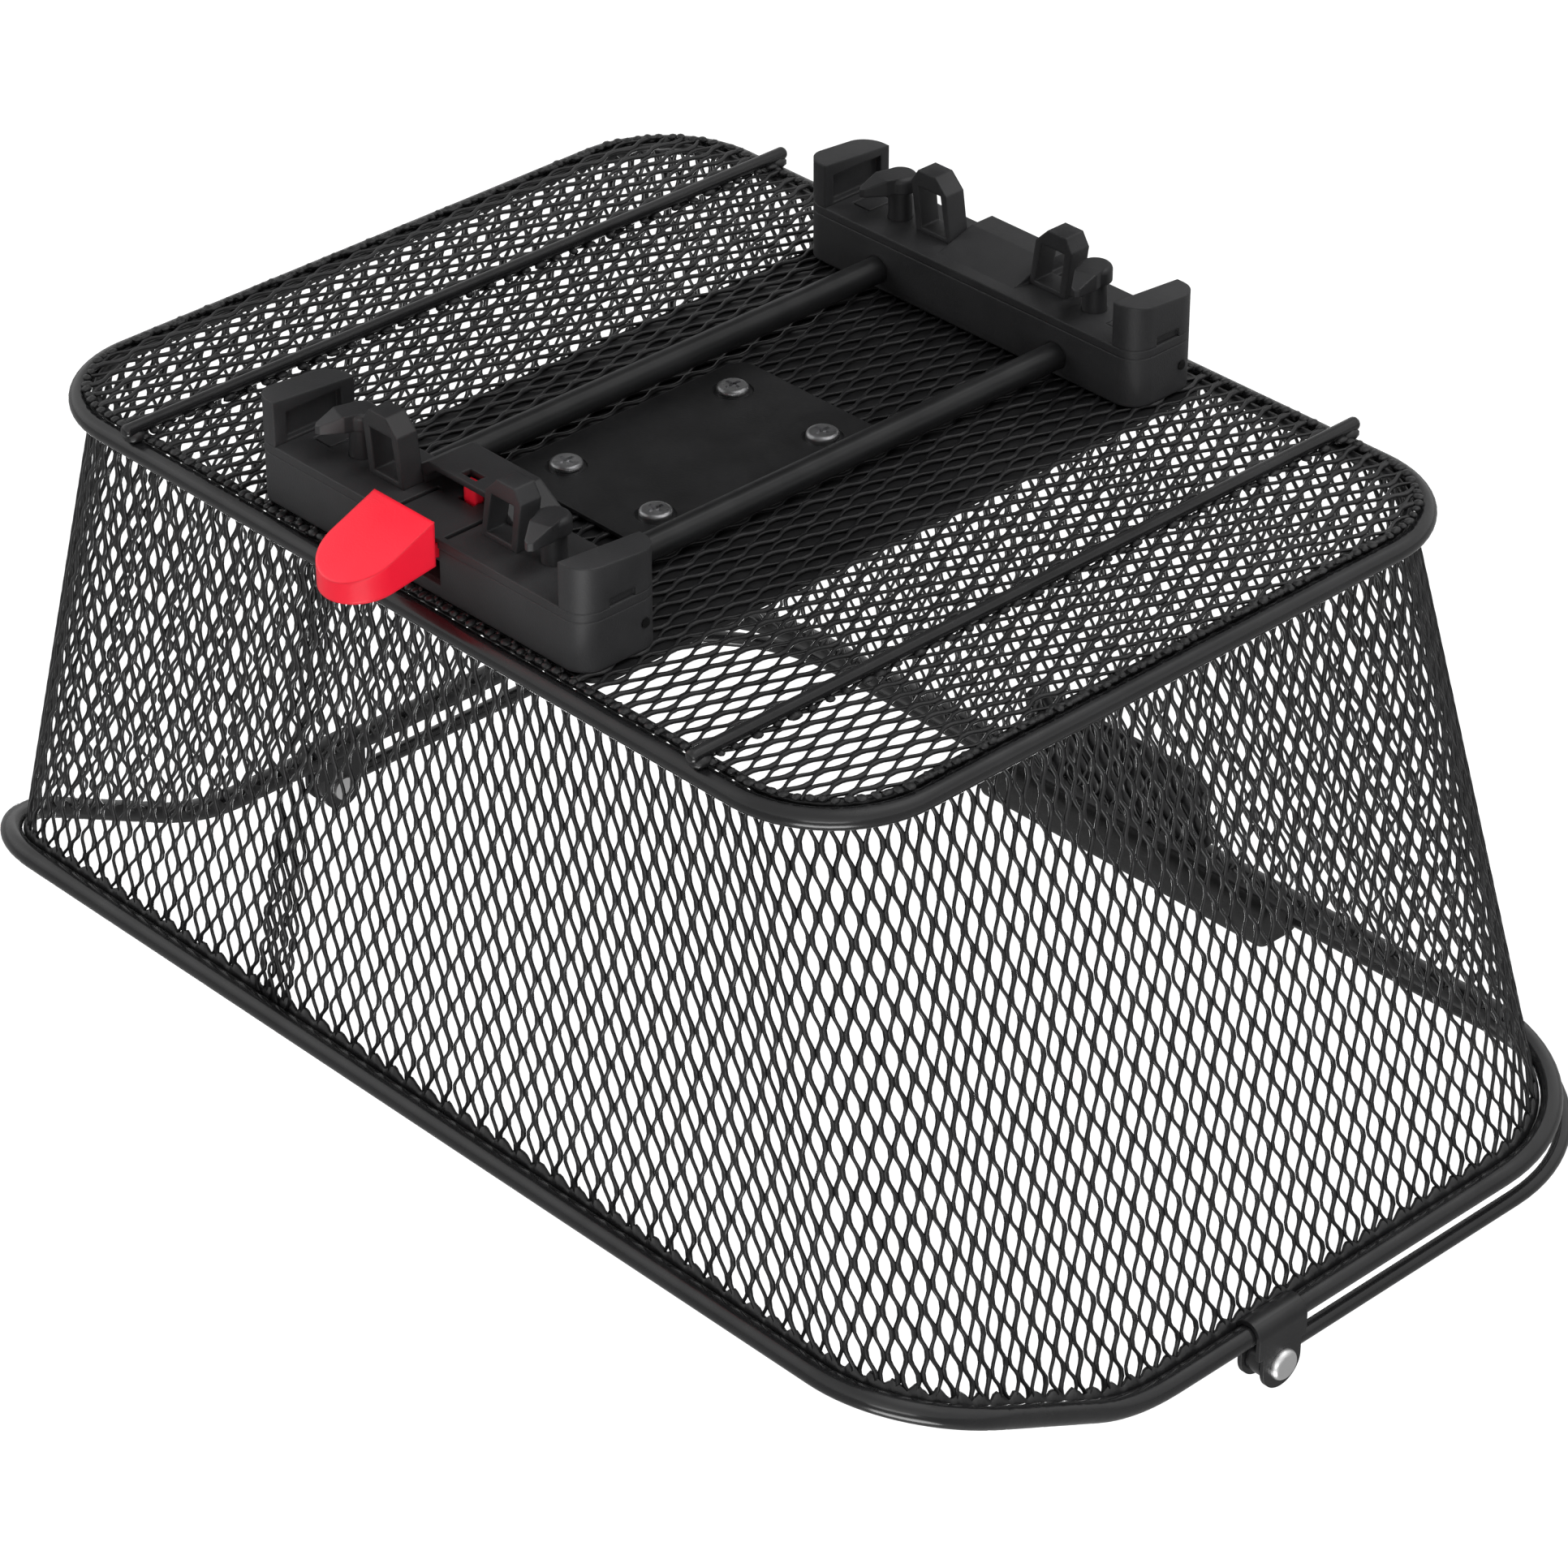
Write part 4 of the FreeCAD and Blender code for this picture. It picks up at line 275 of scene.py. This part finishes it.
class Outline:
    """Rounded rectangle walked counter-clockwise from the middle of its front side."""

    def __init__(self, half_x, front, rear, r_front, r_rear):
        self.parts = [("line", (0.0, front), (half_x - r_front, front)),
                      ("arc", (half_x - r_front, front + r_front), r_front, -0.5),
                      ("line", (half_x, front + r_front), (half_x, rear - r_rear)),
                      ("arc", (half_x - r_rear, rear - r_rear), r_rear, 0.0),
                      ("line", (half_x - r_rear, rear), (-half_x + r_rear, rear)),
                      ("arc", (-half_x + r_rear, rear - r_rear), r_rear, 0.5),
                      ("line", (-half_x, rear - r_rear), (-half_x, front + r_front)),
                      ("arc", (-half_x + r_front, front + r_front), r_front, 1.0),
                      ("line", (-half_x + r_front, front), (0.0, front))]
        self.lengths = []
        for part in self.parts:
            if part[0] == "line":
                self.lengths.append(math.dist(part[1], part[2]))
            else:
                self.lengths.append(part[2] * math.pi / 2)
        self.edges = np.concatenate([[0.0], np.cumsum(self.lengths)])
        self.total = self.edges[-1]

    def at(self, s):
        """Points and outward normals at arc lengths s."""
        s = np.mod(np.asarray(s, dtype=float), self.total)
        where = np.clip(np.searchsorted(self.edges, s, side="right") - 1, 0, len(self.parts) - 1)
        pts = np.zeros(s.shape + (2,))
        nor = np.zeros(s.shape + (2,))
        for i, part in enumerate(self.parts):
            hit = where == i
            if not hit.any():
                continue
            d = s[hit] - self.edges[i]
            if part[0] == "line":
                a = np.array(part[1])
                b = np.array(part[2])
                t = (b - a) / max(1e-9, np.linalg.norm(b - a))
                pts[hit] = a + t * d[:, None]
                nor[hit] = np.array([t[1], -t[0]])
            else:
                ang = part[3] * math.pi + d / part[2]
                away = np.stack([np.cos(ang), np.sin(ang)], axis=-1)
                pts[hit] = np.array(part[1]) + part[2] * away
                nor[hit] = away
        return pts, nor


INSET_LOW, INSET_HIGH = 4.8, 4.4     # mesh inside the wire centrelines, mm
RIM_X, RIM_FRONT, RIM_REAR, RIM_RF, RIM_RR = 200.0, -130.0, 165.0, 34.0, 60.0
RIM_TOP, DIP_START, DIP_RAD, DIP_SLOPE = 215.9, 30.0, 66.0, 0.5
base_line = Outline(160.7 - INSET_LOW, -120.9 + INSET_LOW, 120.9 - INSET_LOW, 33 - INSET_LOW,
                    33 - INSET_LOW)
rim_line = Outline(RIM_X - INSET_HIGH, RIM_FRONT + INSET_HIGH, RIM_REAR - INSET_HIGH,
                   RIM_RF - INSET_HIGH, RIM_RR - INSET_HIGH)
WALL_LOW = 19.8
SHARES = [43, 16, 55, 22, 78, 22, 55, 16, 43]    # strands on each part of the outline
STRANDS = sum(SHARES)
WALL_NODES = ["mesh_front", "mesh_rear", "mesh_left", "mesh_right", "mesh_corner_fl",
              "mesh_corner_fr", "mesh_corner_rl", "mesh_corner_rr"]


def dip(y):
    """Height lost by the rim at y on its way to the low front side."""
    bend = math.atan(DIP_SLOPE)
    run = np.maximum(0.0, -DIP_START - y)
    round_run = DIP_RAD * math.sin(bend)
    curved = DIP_RAD - np.sqrt(np.maximum(0.0, DIP_RAD ** 2 - np.minimum(run, round_run) ** 2))
    return curved + np.maximum(0.0, run - round_run) * DIP_SLOPE


def rim_height(xy):
    """Height of the rim wire above plan points on the rim outline."""
    x, y = np.abs(xy[..., 0]), xy[..., 1]
    turn_y = RIM_FRONT + RIM_RF
    drop = float(dip(np.array(turn_y)))
    last = drop + DIP_SLOPE * RIM_RF * math.pi / 4.0
    turned = np.arctan2(turn_y - y, np.maximum(1e-6, x - (RIM_X - RIM_RF)))
    t = np.clip(turned / (math.pi / 2), 0, 1)
    corner = drop + (last - drop) * (1.0 - (1.0 - t) ** 2)
    fall = np.where(y >= turn_y, dip(y), np.where(x > RIM_X - RIM_RF, corner, last))
    return RIM_TOP - fall


def smooth_ring(values, total, width):
    """Moving average of a rising, wrapping sequence of arc lengths."""
    n = len(values)
    ext = np.concatenate([values - total, values, values + total])
    kernel = np.ones(width) / width
    soft = np.convolve(ext, kernel, mode="same")
    return soft[n:2 * n]


marks = np.concatenate([[0], np.cumsum(SHARES)]).astype(float)
fine = np.arange(0, STRANDS, 0.25)
low_s = np.interp(fine, marks, base_line.edges)
high_s = np.interp(fine, marks, rim_line.edges)
low_s = smooth_ring(low_s, base_line.total, 41)
high_s = smooth_ring(high_s, rim_line.total, 41)


def lookup(table, total, k):
    """Arc length at strand index k, wrapping round the basket."""
    turns = np.floor(k / STRANDS)
    return np.interp(k - turns * STRANDS, np.append(fine, STRANDS),
                     np.append(table, table[0] + total)) + turns * total


def wall_ends(k):
    """Foot and head of the wall at strand index k, with their outward normals."""
    lo, nlo = base_line.at(lookup(low_s, base_line.total, k))
    hi, nhi = rim_line.at(lookup(high_s, rim_line.total, k))
    foot = np.concatenate([lo, np.full(lo.shape[:-1] + (1,), WALL_LOW)], axis=-1)
    head = np.concatenate([hi, (rim_height(hi) + 0.6)[..., None]], axis=-1)
    return foot, head, nlo, nhi


def wall_point(k, dist):
    """Point, sideways direction and outward direction on the wall, dist up from its foot."""
    foot, head, nlo, nhi = wall_ends(k)
    length = np.linalg.norm(head - foot, axis=-1)
    v = (dist / length)[..., None]
    point = foot * (1 - v) + head * v
    nor = nlo * (1 - v) + nhi * v
    nor /= np.linalg.norm(nor, axis=-1, keepdims=True)
    flat = np.zeros(nor.shape[:-1] + (1,))
    out = np.concatenate([nor, flat], axis=-1)
    side = np.concatenate([-nor[..., 1:2], nor[..., 0:1], flat], axis=-1)
    return point, side, out


def wall_strands(first, last, name, lift=0.0, shear=0.0, start=0.0):
    """Strands first..last of the wall; lift moves them outwards, shear slants them."""
    all_v, all_f, base = [], [], 0
    for k in range(first, last):
        foot, head, _, _ = wall_ends(np.array([float(k) + start]))
        length = float(np.linalg.norm(head - foot)) - 1.2
        rows = 2.0 * length / LWD
        h = steps_for(int(math.ceil(rows)))
        h = np.append(h[h < rows - 0.05], rows)
        idx = k + start + shear * (h / rows) + strand_offset(h, k % 2)
        wobble = 0.035 * np.sin(k * 1.7 + h * 0.9) + 0.03 * np.sin(k * 0.37 - h * 2.1)
        point, side, out = wall_point(idx + wobble, h * LWD / 2.0)
        sign = 1.0 if k % 2 == 0 else -1.0
        point = point + out * (lift + STAGGER * sign)
        half_w = half_width(h)
        c, si = math.cos(WALL_TILT * sign), math.sin(WALL_TILT * sign)
        across = (side * c + out * si) * half_w[:, None]
        through = (out * c - side * si) * (0.5 * STRAND_T)
        v, f = tubes(point[None], across[None], through[None])
        all_v.append(v)
        all_f.append(f + base)
        base += len(v)
    make_mesh(name, np.concatenate(all_v), np.concatenate(all_f), WALL_NODES)


cuts = [-51, 51, 125, 225, 299]      # strand numbers where one wall piece ends
for (a, b), word in zip(zip(cuts[:-1], cuts[1:]), ("front", "right", "rear", "left")):
    wall_strands(a, b, "wall_mesh_" + word)
wall_strands(11, 15, "wall_seam", lift=1.0, shear=2.6, start=0.4)


def hem(name, at_rim):
    """Painted edge band of the mesh with a toothed free side."""
    k = np.arange(0, STRANDS, 0.25)
    foot, head, _, _ = wall_ends(k)
    length = np.linalg.norm(head - foot, axis=-1)
    tooth = np.abs(np.cos(np.pi * k * 0.5)) ** 1.5
    ragged = rng.uniform(-0.5, 0.5, len(k)) * 0.6
    reach = (3.0 + 2.4 * tooth + ragged) if at_rim else (1.6 + 1.6 * tooth + ragged)
    back = -0.6 if at_rim else -0.4
    rings = []
    for offset, depth in ((0.9, back), (1.05, 1.2), (0.55, None), (-0.55, None), (-1.05, 1.2),
                          (-0.9, back)):
        depth = reach if depth is None else np.full_like(k, depth)
        point, _, out = wall_point(k, length - depth if at_rim else depth)
        rings.append(point + out * offset)
    grid = np.stack(rings, axis=1)
    n, m = grid.shape[:2]
    index = np.arange(n * m).reshape(n, m)
    a, b = index, np.roll(index, -1, axis=0)
    faces = np.stack([a, np.roll(a, -1, axis=1), np.roll(b, -1, axis=1), b], axis=-1)
    faces = faces.reshape(-1, 4)
    make_mesh(name, grid.reshape(-1, 3) * MM, faces, WALL_NODES)


hem("rim_hem", True)
hem("base_hem", False)

# ------------------------------------------------------------------ floor mesh
FLOOR_Z = 18.25
HALF_X, HALF_Y, CORNER = 158.6, 118.8, 31.0


def floor_limit(x):
    """Half length of the floor along Y at x."""
    over = np.maximum(0.0, np.abs(x) - (HALF_X - CORNER))
    return HALF_Y - CORNER + np.sqrt(np.maximum(0.0, CORNER ** 2 - over ** 2))


def floor_strands():
    """Expanded metal of the floor, trimmed to the base ring."""
    n = int(HALF_X / STRAND_PITCH)
    rows = int(round(2 * 2 * HALF_Y / LWD)) + 1
    h = steps_for(rows)
    all_v, all_f, base = [], [], 0
    for k in range(-n, n + 1):
        x = (k + strand_offset(h, k % 2) + 0.03 * np.sin(k * 1.3 + h)) * STRAND_PITCH
        y = (h - rows / 2.0) * LWD / 2.0
        keep = (np.abs(y) <= floor_limit(x)) & (np.abs(x) < HALF_X)
        if keep.sum() < 3:
            continue
        x, y = x[keep], y[keep]
        sign = 1.0 if k % 2 == 0 else -1.0
        z = np.full_like(x, FLOOR_Z + STAGGER * sign)
        centre = np.stack([x, y, z], axis=-1)[None]
        half_w = half_width(h[keep])[None, :, None]
        tilt = FLOOR_TILT * sign
        side = np.array([math.cos(tilt), 0.0, math.sin(tilt)])
        out = np.array([-math.sin(tilt), 0.0, math.cos(tilt)])
        v, f = tubes(centre, side * half_w, out * np.full_like(half_w, 0.5 * STRAND_T))
        all_v.append(v)
        all_f.append(f + base)
        base += len(v)
    make_mesh("floor_mesh_strands", np.concatenate(all_v), np.concatenate(all_f), ["floor_mesh"])


floor_strands()


def blobs(name, spots):
    """Paint and weld beads: flattened balls at (x, y, z, rx, ry, rz) in mm."""
    rows, cols = 5, 8
    unit = []
    for i in range(rows + 1):
        a = math.pi * i / rows
        for j in range(cols):
            b = 2 * math.pi * j / cols
            unit.append((math.sin(a) * math.cos(b), math.sin(a) * math.sin(b), math.cos(a)))
    unit = np.array(unit)
    faces = []
    for i in range(rows):
        for j in range(cols):
            p, q = i * cols + j, i * cols + (j + 1) % cols
            faces.append((p, p + cols, q + cols, q))
    faces = np.array(faces)
    verts = [unit * np.array(s[3:6]) + np.array(s[:3]) for s in spots]
    all_f = [faces + n * len(unit) for n in range(len(spots))]
    make_mesh(name, np.concatenate(verts) * MM, np.concatenate(all_f), ["floor_mesh"])


RAIL_X = 114
spots = []
for sx in (-1, 1):
    y = -116.0
    while y < 117.0:
        for off in (-1.9, 1.9):
            spots.append((sx * RAIL_X + off + rng.uniform(-0.3, 0.3), y + rng.uniform(-1, 1), 17.3,
                          rng.uniform(1.0, 1.7), rng.uniform(1.2, 2.6), rng.uniform(0.7, 1.1)))
        y += rng.uniform(5.4, 7.2)
    for sy in (-1, 1):
        spots.append((sx * RAIL_X, sy * 120.6, 17.6, 3.4, 3.6, 2.0))
ring_line = Outline(158.2, -118.4, 118.4, 30.5, 30.5)
marks_s = np.arange(0, ring_line.total, 3.3)
ring_xy, _ = ring_line.at(marks_s)
for x, y in ring_xy:
    spots.append((x + rng.uniform(-0.4, 0.4), y + rng.uniform(-0.4, 0.4), 18.0,
                  rng.uniform(1.1, 1.9), rng.uniform(1.1, 1.9), rng.uniform(0.6, 1.0)))
blobs("paint_beads", spots)

# ------------------------------------------------------------------ world, floor and lights
bpy.context.scene.view_settings.view_transform = "Standard"
world = bpy.data.worlds.new("studio")
bpy.context.scene.world = world
world.use_nodes = True
world_nodes, world_links = world.node_tree.nodes, world.node_tree.links
plain = world_nodes["Background"]
plain.inputs["Color"].default_value = (1.0, 1.0, 1.0, 1.0)
plain.inputs["Strength"].default_value = 1.15
dim = world_nodes.new("ShaderNodeBackground")
dim.inputs["Color"].default_value = (1.0, 1.0, 1.0, 1.0)
dim.inputs["Strength"].default_value = 0.35
path = world_nodes.new("ShaderNodeLightPath")
choose = world_nodes.new("ShaderNodeMixShader")
world_links.new(path.outputs["Is Camera Ray"], choose.inputs["Fac"])
world_links.new(dim.outputs["Background"], choose.inputs[1])
world_links.new(plain.outputs["Background"], choose.inputs[2])
world_links.new(choose.outputs["Shader"], world_nodes["World Output"].inputs["Surface"])

floor_mesh = bpy.data.meshes.new("studio_floor")
FLOOR_HALF = 6.0
floor_z = cad_bounds[0][2] - 0.001
floor_mesh.from_pydata([(x, y, floor_z) for x, y in
                        ((-FLOOR_HALF, -FLOOR_HALF), (FLOOR_HALF, -FLOOR_HALF),
                         (FLOOR_HALF, FLOOR_HALF), (-FLOOR_HALF, FLOOR_HALF))], [],
                       [(0, 1, 2, 3)])
floor_obj = bpy.data.objects.new("studio_floor", floor_mesh)
bpy.context.scene.collection.objects.link(floor_obj)
floor_mat = bpy.data.materials.new("studio_floor")
floor_mat.use_nodes = True
floor_nodes, floor_links = floor_mat.node_tree.nodes, floor_mat.node_tree.links
floor_bsdf = floor_nodes["Principled BSDF"]
floor_bsdf.inputs["Base Color"].default_value = (0.86, 0.86, 0.86, 1.0)
floor_bsdf.inputs["Roughness"].default_value = 0.8
clear = floor_nodes.new("ShaderNodeBsdfTransparent")
facing = floor_nodes.new("ShaderNodeNewGeometry")
blend_shader = floor_nodes.new("ShaderNodeMixShader")
floor_links.new(facing.outputs["Backfacing"], blend_shader.inputs["Fac"])
floor_links.new(floor_bsdf.outputs["BSDF"], blend_shader.inputs[1])
floor_links.new(clear.outputs["BSDF"], blend_shader.inputs[2])
floor_links.new(blend_shader.outputs["Shader"], floor_nodes["Material Output"].inputs["Surface"])
floor_mesh.materials.append(floor_mat)
floor_obj.visible_shadow = False


def area_light(name, place, target, size, power):
    """Rectangular soft light at place, turned to face target."""
    data = bpy.data.lights.new(name, "AREA")
    data.shape = "RECTANGLE"
    data.size, data.size_y = size
    data.energy = power
    obj = bpy.data.objects.new(name, data)
    obj.location = place
    obj.rotation_euler = (Vector(target) - Vector(place)).to_track_quat("-Z", "Y").to_euler()
    bpy.context.scene.collection.objects.link(obj)


centre = (0.0, 0.02, 0.1)
area_light("below_key", (-0.7, 0.5, -1.6), centre, (1.4, 1.0), 26.0)
area_light("below_front", (-1.4, -1.5, -0.2), centre, (1.2, 1.2), 14.0)
area_light("below_right", (1.5, -0.8, -0.9), centre, (1.0, 1.2), 14.0)
area_light("above_key", (-1.0, -1.2, 1.9), centre, (1.4, 1.0), 26.0)
area_light("above_back", (1.5, 1.4, 1.4), centre, (1.4, 1.0), 20.0)
